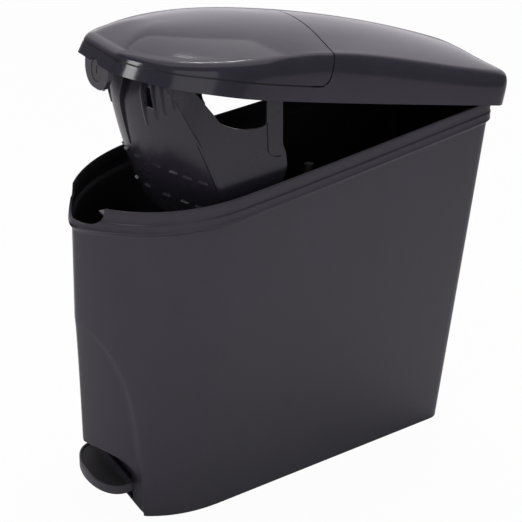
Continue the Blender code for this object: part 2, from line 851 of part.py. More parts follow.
def turned_screw(name, head_low, head_high, length, head=None, shank=None):
    """A screw with a flat head and a plain shank."""
    head = head or SCREW_HEAD_RADIUS
    shank = shank or SCREW_RADIUS
    run = head_high - head_low
    thick = run.length
    profile = (
        (thick + length, 0.0),
        (thick + length, shank * 0.7),
        (thick + length * 0.85, shank),
        (thick, shank),
        (thick, head),
        (thick * 0.4, head),
        (0.0, head * HEAD_CROWN_SHARE),
        (0.0, 0.0),
    )
    return turned(name, profile, head_low, run)


def pad_outline(inset=0.0):
    """The pedal's pad from above: straight behind, bowed in front."""
    half = PAD_WIDTH / 2 - inset
    front = BASE_NOSE + PAD_FRONT + inset
    rear = BASE_NOSE + PAD_FRONT + PAD_LENGTH - inset
    points = []
    flank = rear - PAD_FLANK
    for step in range(PAD_STEPS + 1):
        angle = math.pi * step / PAD_STEPS
        bow = max(math.sin(angle), 0.0) ** PAD_BOW_POWER
        points.append((-half * math.cos(angle), flank - (flank - front) * bow))
    points += [(half, rear), (-half, rear)]
    return points


def pedal():
    """Foot pad, neck, hub and the arm that lifts the push rod, all one moulding."""
    pad = plate("pedal", pad_outline(), PAD_HEIGHT - PAD_THICKNESS, PAD_HEIGHT)
    low = AXLE_HEIGHT - LEVER_THICKNESS / 2 - LEVER_DROP
    rear = BASE_NOSE + PAD_FRONT + PAD_LENGTH
    neck = NECK_WIDTH / 2
    stem = (
        (-neck, rear - PAD_LENGTH / 4),
        (neck, rear - PAD_LENGTH / 4),
        (neck, AXLE_Y + ARM_WIDTH / 2),
        (ROD_SIDE + ARM_WIDTH / 2 - ARM_WIDTH / 3, ROD_Y - ARM_WIDTH),
        (ROD_SIDE + ARM_WIDTH / 2 - ARM_WIDTH / 3, ROD_Y + ARM_WIDTH / 2),
        (ROD_SIDE - ARM_WIDTH / 2, ROD_Y + ARM_WIDTH / 2),
        (ROD_SIDE - ARM_WIDTH / 2, ROD_Y - ARM_WIDTH / 2),
        (neck - ARM_WIDTH, AXLE_Y + ARM_WIDTH),
        (-neck, AXLE_Y + ARM_WIDTH / 2),
    )
    join(pad, plate("lever_stock", stem, low, low + LEVER_THICKNESS))
    middle = Vector((0, AXLE_Y, AXLE_HEIGHT))
    half = Vector((neck, 0, 0))
    join(pad, rod("hub_stock", middle - half, middle + half, HUB_RADIUS - RUNNING_GAP * 3, ROUND_SIDES))
    cut(pad, rod("hub_bore", middle - half * 2, middle + half * 2, AXLE_RADIUS + RUNNING_GAP, SMALL_SIDES))
    cut(pad, plate(
        "pad_dish",
        pad_outline(PAD_LIP_INSET),
        PAD_HEIGHT - PAD_LIP,
        PAD_HEIGHT + OVERRUN,
    ))
    return keep(pad, roughness=0.32)


def lever_top():
    return AXLE_HEIGHT + LEVER_THICKNESS / 2 - LEVER_DROP


def pedal_axle():
    middle = Vector((0, AXLE_Y, AXLE_HEIGHT))
    half = Vector((NECK_WIDTH / 2 + CRADLE_WIDTH + PEDAL_BEVEL, 0, 0))
    return keep(rod("pedal_axle", middle - half, middle + half, AXLE_RADIUS), STEEL, 0.3, 1.0)


def axle_clips():
    """Push-on clips that keep the axle in its cradles."""
    for side, name in SIDES:
        start = NECK_WIDTH / 2 + RUNNING_GAP * 2 + CRADLE_WIDTH + RUNNING_GAP
        near = Vector((side * start, AXLE_Y, AXLE_HEIGHT))
        far = near + Vector((side * CLIP_THICKNESS, 0, 0))
        body = rod(f"axle_clip_{name}", near, far, CLIP_RADIUS, ROUND_SIDES)
        spread = Vector((OVERRUN, 0, 0))
        cut(body, rod(f"clip_bore_{name}", near - spread, near + spread, AXLE_RADIUS + RUNNING_GAP))
        keep(body, STEEL, 0.3, 1.0)


def rod_top():
    return FLAP_EAR_LOW - ROD_LOST_MOTION


def push_rod():
    low = lever_top() + SEAT_GAP + FOOT_HEIGHT * 0.4
    high = rod_top() - CAP_WALL
    body = rod("push_rod", (ROD_SIDE, ROD_Y, low), (ROD_SIDE, ROD_Y, high), ROD_RADIUS)
    pin = foot_pin_ends()
    cut(body, rod("rod_cross_hole", pin[0], pin[1], FOOT_PIN_RADIUS + RUNNING_GAP))
    return keep(body, STEEL, 0.3, 1.0)


def foot_pin_ends():
    z = lever_top() + SEAT_GAP + FOOT_HEIGHT * 0.72
    half = FOOT_RADIUS + RUNNING_GAP
    return Vector((ROD_SIDE - half, ROD_Y, z)), Vector((ROD_SIDE + half, ROD_Y, z))


def rod_foot():
    """Plastic foot on the rod's lower end, with a round nose on the lever."""
    z = lever_top() + SEAT_GAP
    socket = FOOT_HEIGHT * 0.4 - SEAT_GAP
    hole = ROD_RADIUS + RUNNING_GAP
    profile = [(socket, 0.0), (socket, hole), (FOOT_HEIGHT, hole), (FOOT_HEIGHT, FOOT_RADIUS)]
    for step in range(5):
        angle = math.pi / 2 * step / 4
        profile.append((FOOT_RADIUS * (1 - math.sin(angle)), FOOT_RADIUS * math.cos(angle)))
    profile[-1] = (0.0, 0.0)
    nose = turned("rod_foot", profile, (ROD_SIDE, ROD_Y, z), (0, 0, 1))
    pin = foot_pin_ends()
    spread = Vector((OVERRUN, 0, 0))
    cut(nose, rod("foot_cross_hole", pin[0] - spread, pin[1] + spread, FOOT_PIN_RADIUS + RUNNING_GAP))
    return keep(nose, DARK, 0.4)


def rod_foot_pin():
    pin = foot_pin_ends()
    return keep(rod("rod_foot_pin", pin[0], pin[1], FOOT_PIN_RADIUS, SMALL_SIDES), STEEL, 0.3, 1.0)


def rod_cap():
    """Soft cap on the rod's top, where it meets the flap's ear."""
    high = rod_top()
    body = rod("rod_cap", (ROD_SIDE, ROD_Y, high - CAP_HEIGHT), (ROD_SIDE, ROD_Y, high), CAP_RADIUS)
    cut(body, rod(
        "cap_socket",
        (ROD_SIDE, ROD_Y, high - CAP_HEIGHT - OVERRUN),
        (ROD_SIDE, ROD_Y, high - CAP_WALL + SEAT_GAP),
        ROD_RADIUS + RUNNING_GAP,
    ))
    return keep(body, RUBBER, 0.7)


def guide_block(name, height):
    """A bracket from the side wall to the push rod at one height."""
    low, high = height - GUIDE_HEIGHT / 2, height + GUIDE_HEIGHT / 2
    rings = []
    for z in (low, high):
        nose = ROD_SIDE - GUIDE_NOSE
        ring = [Vector((nose, ROD_Y - GUIDE_NOSE, z)), Vector((nose, ROD_Y + GUIDE_NOSE, z))]
        for y in (ROD_Y + GUIDE_LENGTH / 2, ROD_Y - GUIDE_LENGTH / 2):
            ring.append(Vector((inner_half_width(y, z) - SEAT_GAP * 2, y, z)))
        rings.append(ring)
    body = loft(name, rings)
    reach = Vector((0, 0, GUIDE_HEIGHT))
    middle = Vector((ROD_SIDE, ROD_Y, height))
    cut(body, rod(name + "_bore", middle - reach, middle + reach, ROD_RADIUS + RUNNING_GAP))
    return keep(body, DARK, 0.4)


def lid_plan():
    """The lid skirt's outer outline, with the nose blunted for the lock boss."""
    points = []
    cut_y = NOSE - LID_OUT + LID_NOSE_CUT
    for index, point in enumerate(RIM_PLAN):
        place = point + RIM_NORMALS[index] * LID_OUT
        place.y = smooth_max(place.y, cut_y, NOSE_ROUND)
        if index in (0, len(RIM_PLAN) - 1):
            place.x = 0.0
        points.append(place)
    return points


def lid_foot(y):
    """Height of the shut lid's lower edge."""
    return rim_height(min(max(y, NOSE), BACK)) - LID_LAP - NOSE_DROP * toward_nose(y)


def toward_nose(y):
    """Grows from nothing on the sides to one at the nose."""
    return ease((NOSE + NOSE_DROP_START - y) / NOSE_DROP_RUN)


def band_height(y):
    """Height of the band under the flap, lower at the nose."""
    return BAND_HEIGHT - (BAND_HEIGHT - BAND_NOSE_HEIGHT) * toward_nose(y)


def crest(y):
    """Height of the lid along its middle."""
    fall = abs(NOSE + CREST_BACK - y) / CREST_RUN
    if y > NOSE + CREST_BACK:
        return CREST_HEIGHT
    return CREST_HEIGHT - CREST_FALL * fall ** CREST_POWER


def lid_rows():
    """Grid of the lid's outer face, from the lower edge up to the crest line."""
    plan = lid_plan()
    normals = outward(plan)
    wall_shares = (0.0, 0.30, 0.60, 0.82, 0.93, 1.0)
    columns = []
    for point, normal in zip(plan, normals):
        back = point.y - NOSE
        toward_side = min(max(back / SHOULDER_RISE_BACK, 0.0), 1.0) ** 1.5
        toward_tail = ease((back - SHOULDER_RISE_BACK) / (RIM_LENGTH - SHOULDER_RISE_BACK))
        rise = SHOULDER_NOSE + (SHOULDER_SIDE - SHOULDER_NOSE) * toward_side
        rise += (SHOULDER_TAIL - SHOULDER_SIDE) * toward_tail
        inset = INSET_NOSE + (INSET_SIDE - INSET_NOSE) * toward_side
        softness = 3.0 - toward_side
        foot = lid_foot(point.y)
        column = []
        for share in wall_shares:
            lean = WALL_LEAN_SHARE * share + (1 - WALL_LEAN_SHARE) * share ** (2 + 2 * softness)
            place = point - normal * inset * lean
            column.append(Vector((place.x, place.y, foot + rise * share)))
        top = column[-1]
        spine_share = (point.y - plan[0].y) / (plan[-1].y - plan[0].y)
        spine_y = NOSE + SPINE_FRONT + (SPINE_BACK - SPINE_FRONT) * spine_share
        peak = crest(spine_y)
        for step in range(1, CROWN_STEPS + 1):
            share = step / CROWN_STEPS
            lift = 1 - (1 - share) ** (1.7 + 0.1 * softness)
            column.append(Vector((
                top.x * (1 - share),
                top.y + (spine_y - top.y) * share,
                top.z + (peak - top.z) * lift,
            )))
        columns.append(column)
    for column in (columns[0], columns[-1]):
        for point in column:
            point.x = 0.0
    return [list(row) for row in zip(*columns)][::-1]


def lid_core(name):
    """All that lies under the middle of the lid's wall, and some way below."""
    rows = lid_rows()
    rows.append([point - Vector((0, 0, CORE_DROP)) for point in rows[-1]])
    shape = bmesh.new()
    for side in (1, -1):
        grid = [[shape.verts.new((point.x * side, point.y, point.z)) for point in row] for row in rows]
        for upper, lower in zip(grid, grid[1:]):
            for column in range(len(upper) - 1):
                corners = (upper[column], lower[column], lower[column + 1], upper[column + 1])
                shape.faces.new(corners[::side])
    bmesh.ops.remove_doubles(shape, verts=shape.verts, dist=0.00001)
    bmesh.ops.holes_fill(shape, edges=shape.edges, sides=0)
    bmesh.ops.recalc_face_normals(shape, faces=shape.faces)
    shape.normal_update()
    for vertex, normal in [(v, v.normal.copy()) for v in shape.verts]:
        vertex.co -= normal * LID_WALL / 2
    return from_bmesh(name, shape)


def seam_y(x):
    """Plan of the seam between the flap and the back of the lid."""
    share = min(abs(x) / SEAM_BOW_REACH, 1.0)
    return NOSE + SEAM_SIDE_BACK - SEAM_BOW * (1 - share ** SEAM_BOW_POWER)


def flap_region(name, gap):
    """The space of the flap: in front of the seam and above the band."""
    rings = []
    reach = RIM_WIDTH / 2 + OVERRUN * 2
    front = NOSE - OVERRUN * 3
    for station in range(-SEAM_STATIONS // 2, SEAM_STATIONS // 2 + 1):
        x = reach * station / (SEAM_STATIONS / 2)
        back = seam_y(x) - gap
        bend = back - SEAM_RADIUS
        ring = []
        for step in range(9):
            y = front + (bend - front) * step / 8
            ring.append(Vector((x, y, lid_foot(y) + band_height(y) + gap)))
        base = ring[-1].z
        for step in range(1, 4):
            angle = math.pi / 2 * step / 3
            ring.append(Vector((
                x,
                bend + SEAM_RADIUS * math.sin(angle),
                base + SEAM_RADIUS * (1 - math.cos(angle)),
            )))
        ring.append(Vector((x, back, SEAM_TOP)))
        ring.append(Vector((x, front, SEAM_TOP)))
        rings.append(ring)
    return loft(name, rings)


def lock_place():
    """Centre of the lock on the tongue's face and its outward direction, lid shut."""
    tilt = math.radians(LOCK_TILT_DEGREES)
    centre = Vector((0, NOSE + LOCK_BACK, LOCK_HEIGHT))
    return centre, Vector((0, -math.cos(tilt), -math.sin(tilt)))


def tongue_stock():
    """Round cornered tongue that hangs from the band's nose and holds the lock."""
    centre, out = lock_place()
    up = Vector((0, out.z, -out.y))
    half = TONGUE_WIDTH / 2
    outline = [(half, TONGUE_RISE)]
    for step in range(7):
        angle = -math.pi / 2 * step / 6
        outline.append((
            half - TONGUE_RADIUS + TONGUE_RADIUS * math.cos(angle),
            TONGUE_RADIUS - TONGUE_DROP + TONGUE_RADIUS * math.sin(angle),
        ))
    outline += [(-x, rise) for x, rise in reversed(outline)]
    rings = []
    for depth in (0.0, TONGUE_THICKNESS):
        level = centre - out * depth
        rings.append([level + Vector((x, 0, 0)) + up * rise for x, rise in outline])
    return loft("tongue_stock", rings)


def lid_frame(axis):
    """Back of the lid, the band round the nose, lock boss and hinge ears."""
    body = surface("lid_frame", lid_rows(), LID_WALL)
    cut(body, flap_region("flap_space", 0.0))
    join(body, seat_tabs("flap_seats", lambda y: seat_top(y) - SEAT_THICKNESS))
    centre, out = lock_place()
    join(body, tongue_stock())
    cut(body, rod("lock_pocket", centre - out * LOCK_POCKET, centre + out * OVERRUN,
                  LOCK_FACE_RADIUS + RUNNING_GAP * 2, ROUND_SIDES))
    cut(body, rod("lock_bore", centre - out * OVERRUN * 2, centre + out * OVERRUN,
                  LOCK_RADIUS + RUNNING_GAP, ROUND_SIDES))
    join(body, lid_ear_stock())
    join(body, flap_lug_stock())
    hinge = Vector((0, HINGE_Y, HINGE_Z))
    reach = Vector((EAR_SIDE + EAR_WIDTH + OVERRUN, 0, 0))
    cut(body, rod("lid_hinge_bore", hinge - reach, hinge + reach, PIN_RADIUS + RUNNING_GAP))
    pivot = Vector((0, FLAP_AXIS_Y, FLAP_AXIS_HEIGHT))
    span = Vector((ROD_SIDE + FLAP_PIN_LENGTH, 0, 0))
    cut(body, rod("flap_lug_bore", pivot - span, pivot + span, FLAP_PIN_RADIUS + RUNNING_GAP))
    for stock in list(body.modifiers):
        if getattr(stock, "object", None):
            carry(stock.object, axis)
    carry(body, axis)
    return keep(body, roughness=0.26)


def lid_half_width(y):
    """Half width of the lid's outer face at its foot."""
    return plan_half_width(y) + LID_OUT


def seat_top(y):
    return lid_foot(y) + band_height(y) - SEAT_DROP


def flap_foot(y):
    return lid_foot(y) + band_height(y) + SEAM_GAP


def seat_tabs(name, level):
    """Tabs on the inside of the lid's wall with the buffers between them."""
    tabs = []
    for back in (share * RIM_LENGTH for share in BUFFER_BACK_SHARES):
        y = NOSE + back
        outer = lid_half_width(y)
        inner = outer - LID_WALL - SEAT_REACH
        for side in (-1, 1):
            tabs.append(box(
                f"{name}_{back}_{side}",
                (min(side * outer, side * inner), y - SEAT_WIDTH, level(y)),
                (max(side * outer, side * inner), y + SEAT_WIDTH, level(y) + SEAT_THICKNESS),
            ))
    return within(merged(name, tabs), lid_core(name + "_limit"))


def lid_ear_stock():
    """Two ears that run down outside the body's back wall to the hinge pin."""
    ears = []
    inner_y = HINGE_Y - KNUCKLE_RADIUS
    top = lid_foot(BACK) + EAR_FOOT_REACH
    points = []
    for step in range(SMALL_SIDES // 2 + 1):
        angle = -math.pi * step / (SMALL_SIDES // 2)
        points.append((HINGE_Y + KNUCKLE_RADIUS * math.cos(angle), HINGE_Z + KNUCKLE_RADIUS * math.sin(angle)))
    points.append((inner_y, top - EAR_FOOT_REACH * 0.6))
    points.append((BACK + LID_GAP + LID_WALL / 2, top))
    points.append((HINGE_Y + KNUCKLE_RADIUS * 0.2, top - EAR_FOOT_REACH * 0.5))
    points.append((HINGE_Y + KNUCKLE_RADIUS, top - EAR_FOOT_REACH * 1.6))
    for side in (-1, 1):
        low = side * EAR_SIDE - EAR_WIDTH / 2
        ears.append(plate(f"lid_ear_{side}", points, low, low + EAR_WIDTH, FACING_X))
    return merged("lid_ears", ears)


def flap_ear_side():
    return ROD_SIDE


def flap_lug_stock():
    """Lugs under the back of the lid that hold the flap's pins."""
    lugs = []
    for side in (-1, 1):
        inner = flap_ear_side() + FLAP_EAR_WIDTH / 2 + RUNNING_GAP
        low = min(side * inner, side * (inner + LUG_WIDTH))
        points = []
        for step in range(SMALL_SIDES // 2 + 1):
            angle = -math.pi * step / (SMALL_SIDES // 2)
            points.append((
                FLAP_AXIS_Y + FLAP_EAR_RADIUS * math.cos(angle),
                FLAP_AXIS_HEIGHT + FLAP_EAR_RADIUS * math.sin(angle),
            ))
        points.append((FLAP_AXIS_Y - FLAP_EAR_RADIUS, CREST_HEIGHT))
        points.append((FLAP_AXIS_Y + FLAP_EAR_RADIUS, CREST_HEIGHT))
        lugs.append(plate(f"flap_lug_{side}", points, low, low + LUG_WIDTH, FACING_X))
    return within(merged("flap_lugs", lugs), lid_core("lug_limit"))


def pin_half_length():
    """The hinge pin ends inside its caps."""
    return EAR_SIDE + EAR_WIDTH * 1.5 + RUNNING_GAP * 2 + PIN_CAP_LENGTH * PIN_ENTRY_SHARE


def lid_hinge_pin():
    hinge = Vector((0, HINGE_Y, HINGE_Z))
    half = Vector((pin_half_length(), 0, 0))
    return keep(rod("lid_hinge_pin", hinge - half, hinge + half, PIN_RADIUS), STEEL, 0.3, 1.0)


def hinge_pin_caps():
    """Push-on caps at the hinge pin's ends."""
    start = EAR_SIDE + EAR_WIDTH * 1.5 + RUNNING_GAP * 2
    for side, name in SIDES:
        near = Vector((side * start, HINGE_Y, HINGE_Z))
        far = near + Vector((side * PIN_CAP_LENGTH, 0, 0))
        body = rod(f"hinge_pin_cap_{name}", near, far, PIN_CAP_RADIUS, ROUND_SIDES)
        depth = Vector((side * (pin_half_length() + SEAT_GAP), 0, 0))
        axis = Vector((0, HINGE_Y, HINGE_Z))
        cut(body, rod(f"cap_bore_{name}", axis, axis + depth, PIN_RADIUS + RUNNING_GAP))
        keep(body, DARK, 0.4)


def flap(axis):
    """Domed flap over the nose with two cranked hinge ears."""
    body = surface("flap", lid_rows(), LID_WALL)
    trim(body, flap_region("flap_limit", SEAM_GAP))
    join(body, seat_tabs("flap_rests", flap_foot))
    join(body, flap_ear_stock())
    join(body, tray_post_stock())
    holes = [rod(f"post_hole_{index}", place, place + Vector((0, 0, TRAY_HOLE_DEPTH)),
                 TRAY_SCREW_RADIUS + SCREW_GAP) for index, place in enumerate(tray_screw_places())]
    cut(body, merged("post_holes", holes))
    pivot = Vector((0, FLAP_AXIS_Y, FLAP_AXIS_HEIGHT))
    span = Vector((ROD_SIDE + FLAP_PIN_LENGTH, 0, 0))
    cut(body, rod("flap_ear_bore", pivot - span, pivot + span, FLAP_PIN_RADIUS + RUNNING_GAP))
    for stock in list(body.modifiers):
        if getattr(stock, "object", None):
            carry(stock.object, axis)
    carry(body, axis)
    return keep(body, roughness=0.24)


def flap_ear_stock():
    """Cranked ears that reach from the flap back under the lid to its axis."""
    ears = []
    leg_back = NOSE + FLAP_LEG_BACK
    leg_front = leg_back - FLAP_LEG_LENGTH
    for side in (-1, 1):
        low = side * flap_ear_side() - FLAP_EAR_WIDTH / 2
        points = [
            (leg_front, CREST_HEIGHT),
            (leg_front, FLAP_EAR_LOW + FLAP_EAR_RADIUS),
            (leg_front + FLAP_EAR_RADIUS, FLAP_EAR_LOW),
            (ROD_Y + CAP_RADIUS * 2, FLAP_EAR_LOW),
        ]
        for step in range(SMALL_SIDES // 2 + 1):
            angle = -math.pi / 2.6 + math.pi * step / (SMALL_SIDES // 2)
            points.append((
                FLAP_AXIS_Y + FLAP_EAR_RADIUS * math.cos(angle),
                FLAP_AXIS_HEIGHT + FLAP_EAR_RADIUS * math.sin(angle),
            ))
        points.append((leg_back + FLAP_EAR_RADIUS, FLAP_EAR_LOW + FLAP_EAR_RADIUS * 1.4))
        points.append((leg_back, FLAP_EAR_LOW + FLAP_EAR_RADIUS * 2.2))
        points.append((leg_back, CREST_HEIGHT))
        ears.append(plate(f"flap_ear_{side}", points, low, low + FLAP_EAR_WIDTH, FACING_X))
    return within(merged("flap_ears", ears), lid_core("ear_limit"))


def tray_post_stock():
    """Posts under the flap that the tray's arms are screwed to."""
    posts = []
    for index, place in enumerate(tray_screw_places()):
        low = place + Vector((0, 0, SEAT_GAP))
        high = Vector((place.x, place.y, CREST_HEIGHT))
        posts.append(rod(f"tray_post_{index}", low, high, TRAY_POST_RADIUS))
    return within(merged("tray_posts", posts), lid_core("post_limit"))


def flap_hinge_pins(axis):
    for side, name in SIDES:
        start = flap_ear_side() - FLAP_EAR_WIDTH / 2 - RUNNING_GAP
        near = Vector((side * start, FLAP_AXIS_Y, FLAP_AXIS_HEIGHT))
        far = near + Vector((side * (FLAP_EAR_WIDTH + LUG_WIDTH + RUNNING_GAP * 3), 0, 0))
        pin = rod(f"flap_pin_{name}", near, far, FLAP_PIN_RADIUS)
        carry(keep(pin, STEEL, 0.3, 1.0), axis)


def flap_buffers(axis):
    """Small rubber buffers between the flap and its seat."""
    for row, share in zip(("front", "rear"), BUFFER_BACK_SHARES):
        back = share * RIM_LENGTH
        y = NOSE + back
        inner = lid_half_width(y) - LID_WALL - SEAT_REACH + BUFFER_RADIUS * 1.5
        for side, name in SIDES:
            foot = Vector((side * inner, y, seat_top(y) + SEAT_GAP))
            head = Vector((side * inner, y, flap_foot(y) - SEAT_GAP))
            stud = rod(f"flap_buffer_{row}_{name}", foot, head, BUFFER_RADIUS)
            carry(keep(stud, RUBBER, 0.7), axis)


def tray_side(y):
    """Half width of the tray's sides, drawn in to follow the nose."""
    return min(TRAY_HALF, plan_half_width(y) - TRAY_CLEAR)


def tray_edge_y(z):
    """Where the tray's front meets its sides."""
    return NOSE + TRAY_EDGE_BACK - (z - TRAY_EDGE_HEIGHT) * TRAY_RAKE_SHARE


def tray_front_y(share, z):
    """The tray's bowed front at a share of its half width."""
    rise = (z - TRAY_FOOT) / TRAY_BULGE_RUN
    bulge = TRAY_BULGE - TRAY_BULGE_LOSS * max(rise, 0.0) ** 2
    bowed = tray_edge_y(z) - max(bulge, 0.0) * (1 - abs(share) ** 2.1)
    return smooth_max(bowed, NOSE + TRAY_NOSE_BACK, NOSE_ROUND)


def tray_front_point(x, z):
    half = tray_side(tray_edge_y(z))
    return Vector((x, tray_front_y(min(abs(x) / half, 1.0), z), z))


def tray(axis):
    """Modesty tray: bowed ribbed front, two side plates and their arms."""
    rows = []
    for step in range(TRAY_ROWS + 1):
        z = TRAY_TOP - (TRAY_TOP - TRAY_FOOT) * step / TRAY_ROWS
        half = tray_side(tray_edge_y(z)) - TRAY_WALL / 2
        row = []
        for column in range(TRAY_STEPS + 1):
            x = half * math.sin(math.pi / 2 * column / TRAY_STEPS)
            row.append(Vector((x, tray_front_point(x, z).y, z)))
        rows.append(row)
    body = surface("tray", rows, TRAY_WALL)
    plates = tray_plates_stock()
    join(body, plates)
    join(body, tray_fin_stock())
    join(body, tray_cleat_stock())
    join(body, tray_flange_stock())
    holes = []
    for index, place in enumerate(tray_screw_places()):
        reach = Vector((0, 0, OVERRUN))
        holes.append(rod(f"tray_hole_{index}", place - reach, place + reach, TRAY_SCREW_RADIUS + RUNNING_GAP))
    cut(body, merged("tray_holes", holes))
    for stock in list(body.modifiers):
        if getattr(stock, "object", None):
            carry(stock.object, axis)
    carry(body, axis)
    return keep(body, roughness=0.3)


def plate_profile():
    """The tray's side plate and arm in side view, lid shut."""
    foot_y = tray_edge_y(TRAY_FOOT)
    points = [(tray_edge_y(TRAY_TOP), TRAY_TOP), (foot_y, TRAY_FOOT)]
    bulge_y = NOSE + PLATE_BULGE_BACK
    points.append((foot_y + (bulge_y - foot_y) * 0.6, TRAY_FOOT + PLATE_LOBE * 0.1))
    points.append((bulge_y - PLATE_LOBE * 0.35, PLATE_BULGE_HEIGHT - PLATE_LOBE * 2.0))
    points.append((bulge_y - PLATE_LOBE * 0.1, PLATE_BULGE_HEIGHT - PLATE_LOBE * 1.2))
    for step in range(5):
        angle = math.radians(-25 + 60 * step / 4)
        points.append((
            bulge_y - PLATE_LOBE + PLATE_LOBE * math.cos(angle),
            PLATE_BULGE_HEIGHT + PLATE_LOBE * math.sin(angle),
        ))
    points.append((NOSE + ARM_TOP_BACK, lid_foot(NOSE + ARM_TOP_BACK)))
    points.append((NOSE + ARM_TOP_BACK, ARM_TOP))
    points.append((NOSE + ARM_TOP_FRONT, ARM_TOP))
    points.append((NOSE + ARM_TOP_FRONT, lid_foot(NOSE + ARM_TOP_FRONT)))
    saddle_y = NOSE + PLATE_SADDLE_BACK
    points.append((saddle_y + PLATE_LOBE * 1.45, PLATE_SADDLE_HEIGHT + PLATE_LOBE * 0.35))
    points.append((saddle_y, PLATE_SADDLE_HEIGHT))
    points.append((saddle_y - PLATE_LOBE, PLATE_SADDLE_HEIGHT + PLATE_LOBE * 0.2))
    points.append((saddle_y - PLATE_LOBE * 2.0, PLATE_SADDLE_HEIGHT + PLATE_LOBE * 0.75))
    points.append((tray_edge_y(TRAY_TOP) + PLATE_LOBE, TRAY_TOP))
    return points


def tray_plates_stock():
    """Both side plates: upright walls along the tray's plan, cut to the profile."""
    walls = []
    start = tray_edge_y(TRAY_TOP)
    end = NOSE + PLATE_BULGE_BACK + PLATE_LOBE
    steps = 12
    for side in (-1, 1):
        rings = []
        for step in range(steps + 1):
            y = start + (end - start) * (step / steps) ** 1.5
            outer = tray_side(y)
            inner = outer - TRAY_WALL
            rings.append([
                Vector((side * inner, y, TRAY_FOOT - OVERRUN)),
                Vector((side * outer, y, TRAY_FOOT - OVERRUN)),
                Vector((side * outer, y, ARM_TOP + OVERRUN)),
                Vector((side * inner, y, ARM_TOP + OVERRUN)),
            ])
        walls.append(loft(f"tray_wall_{side}", rings))
    stock = merged("tray_plates", walls)
    profile = plate("tray_profile", plate_profile(), -TRAY_HALF - OVERRUN, TRAY_HALF + OVERRUN, FACING_X)
    return within(stock, profile)


def tray_fin_stock():
    """Upright stiffening fins on the front's upper part."""
    fins = []
    for index, share in enumerate(FIN_SIDE_SHARES):
        x = share * TRAY_HALF
        rings = []
        for step in range(5):
            z = FIN_FOOT + (TRAY_TOP - FIN_FOOT) * step / 4
            face = tray_front_point(x, z).y
            fade = min(step / 2 + FIN_FADE_SHARE, 1.0)
            rings.append([
                Vector((x - FIN_WIDTH / 2, face - FIN_HEIGHT * fade, z)),
                Vector((x + FIN_WIDTH / 2, face - FIN_HEIGHT * fade, z)),
                Vector((x + FIN_WIDTH / 2, face + TRAY_WALL / 2, z)),
                Vector((x - FIN_WIDTH / 2, face + TRAY_WALL / 2, z)),
            ])
        fins.append(loft(f"fin_{index}", rings))
    return merged("tray_fins", fins)


def tray_cleat_stock():
    """Two rows of small cleats across the front."""
    cleats = []
    for row in range(CLEAT_ROWS):
        z = CLEAT_LOW + CLEAT_PITCH * row
        for index, share in enumerate(CLEAT_SIDE_SHARES):
            x = share * TRAY_HALF
            face = tray_front_point(x, z).y
            near = tray_front_point(x - CLEAT_WIDTH / 2, z).y
            far = tray_front_point(x + CLEAT_WIDTH / 2, z).y
            rings = []
            for place, y in ((x - CLEAT_WIDTH / 2, near), (x, face), (x + CLEAT_WIDTH / 2, far)):
                rings.append([
                    Vector((place, y - CLEAT_REACH, z)),
                    Vector((place, y + TRAY_WALL * 0.6, z)),
                    Vector((place, y + TRAY_WALL * 0.3, z + CLEAT_HEIGHT)),
                    Vector((place, y - CLEAT_REACH * 0.3, z + CLEAT_HEIGHT)),
                ])
            cleats.append(loft(f"cleat_{row}_{index}", rings))
    return merged("tray_cleats", cleats)


def tray_screw_places():
    """Screws through the arms' top flanges, up into the flap."""
    y = NOSE + (ARM_TOP_FRONT + ARM_TOP_BACK) / 2
    x = (tray_side(y) - TRAY_WALL + flange_inside()) / 2
    return [Vector((side * x, y, ARM_TOP)) for side in (-1, 1)]


def flange_inside():
    """The arms' top flanges end beside the flap's ears."""
    return flap_ear_side() + FLAP_EAR_WIDTH / 2 + SEAT_GAP


def tray_flange_stock():
    flanges = []
    for side in (-1, 1):
        y = NOSE + (ARM_TOP_FRONT + ARM_TOP_BACK) / 2
        outer = side * (tray_side(y) - TRAY_WALL / 2)
        inner = side * flange_inside()
        flanges.append(box(
            f"flange_{side}",
            (min(outer, inner), NOSE + ARM_TOP_FRONT, ARM_TOP - FLANGE_THICKNESS),
            (max(outer, inner), NOSE + ARM_TOP_BACK, ARM_TOP),
        ))
    return merged("tray_flanges", flanges)


def tray_screws(axis):
    for (side, name), place in zip(SIDES, tray_screw_places()):
        head_high = place - Vector((0, 0, FLANGE_THICKNESS + SCREW_GAP))
        head_low = head_high - Vector((0, 0, SCREW_HEAD_HEIGHT))
        screw = turned_screw(f"tray_screw_{name}", head_low, head_high,
                             TRAY_SCREW_LENGTH, TRAY_SCREW_HEAD, TRAY_SCREW_RADIUS)
        carry(keep(screw, STEEL, 0.3, 1.0), axis)


def lock_barrel(axis):
    """Round lock with a keyway in its face."""
    centre, out = lock_place()
    front = centre - out * (LOCK_POCKET - SEAT_GAP)
    face = front + out * LOCK_FACE_THICKNESS
    body = rod("lock_barrel", front, face, LOCK_FACE_RADIUS, ROUND_SIDES)
    join(body, rod("barrel_stock", front + out * LOCK_FACE_THICKNESS / 2, front - out * LOCK_REAR,
                   LOCK_RADIUS, ROUND_SIDES))
    along = Vector((0, -out.z, out.y))
    across = Vector((1, 0, 0))
    corners = []
    for level in (face + out * OVERRUN, face - out * KEYWAY_DEPTH):
        corners.append([
            level + across * KEYWAY_WIDTH / 2 + along * KEYWAY_LENGTH / 2,
            level - across * KEYWAY_WIDTH / 2 + along * KEYWAY_LENGTH / 2,
            level - across * KEYWAY_WIDTH / 2 - along * KEYWAY_LENGTH / 2,
            level + across * KEYWAY_WIDTH / 2 - along * KEYWAY_LENGTH / 2,
        ])
    cut(body, loft("keyway", corners))
    for stock in list(body.modifiers):
        carry(stock.object, axis)
    return carry(keep(body, DARK, 0.3), axis)


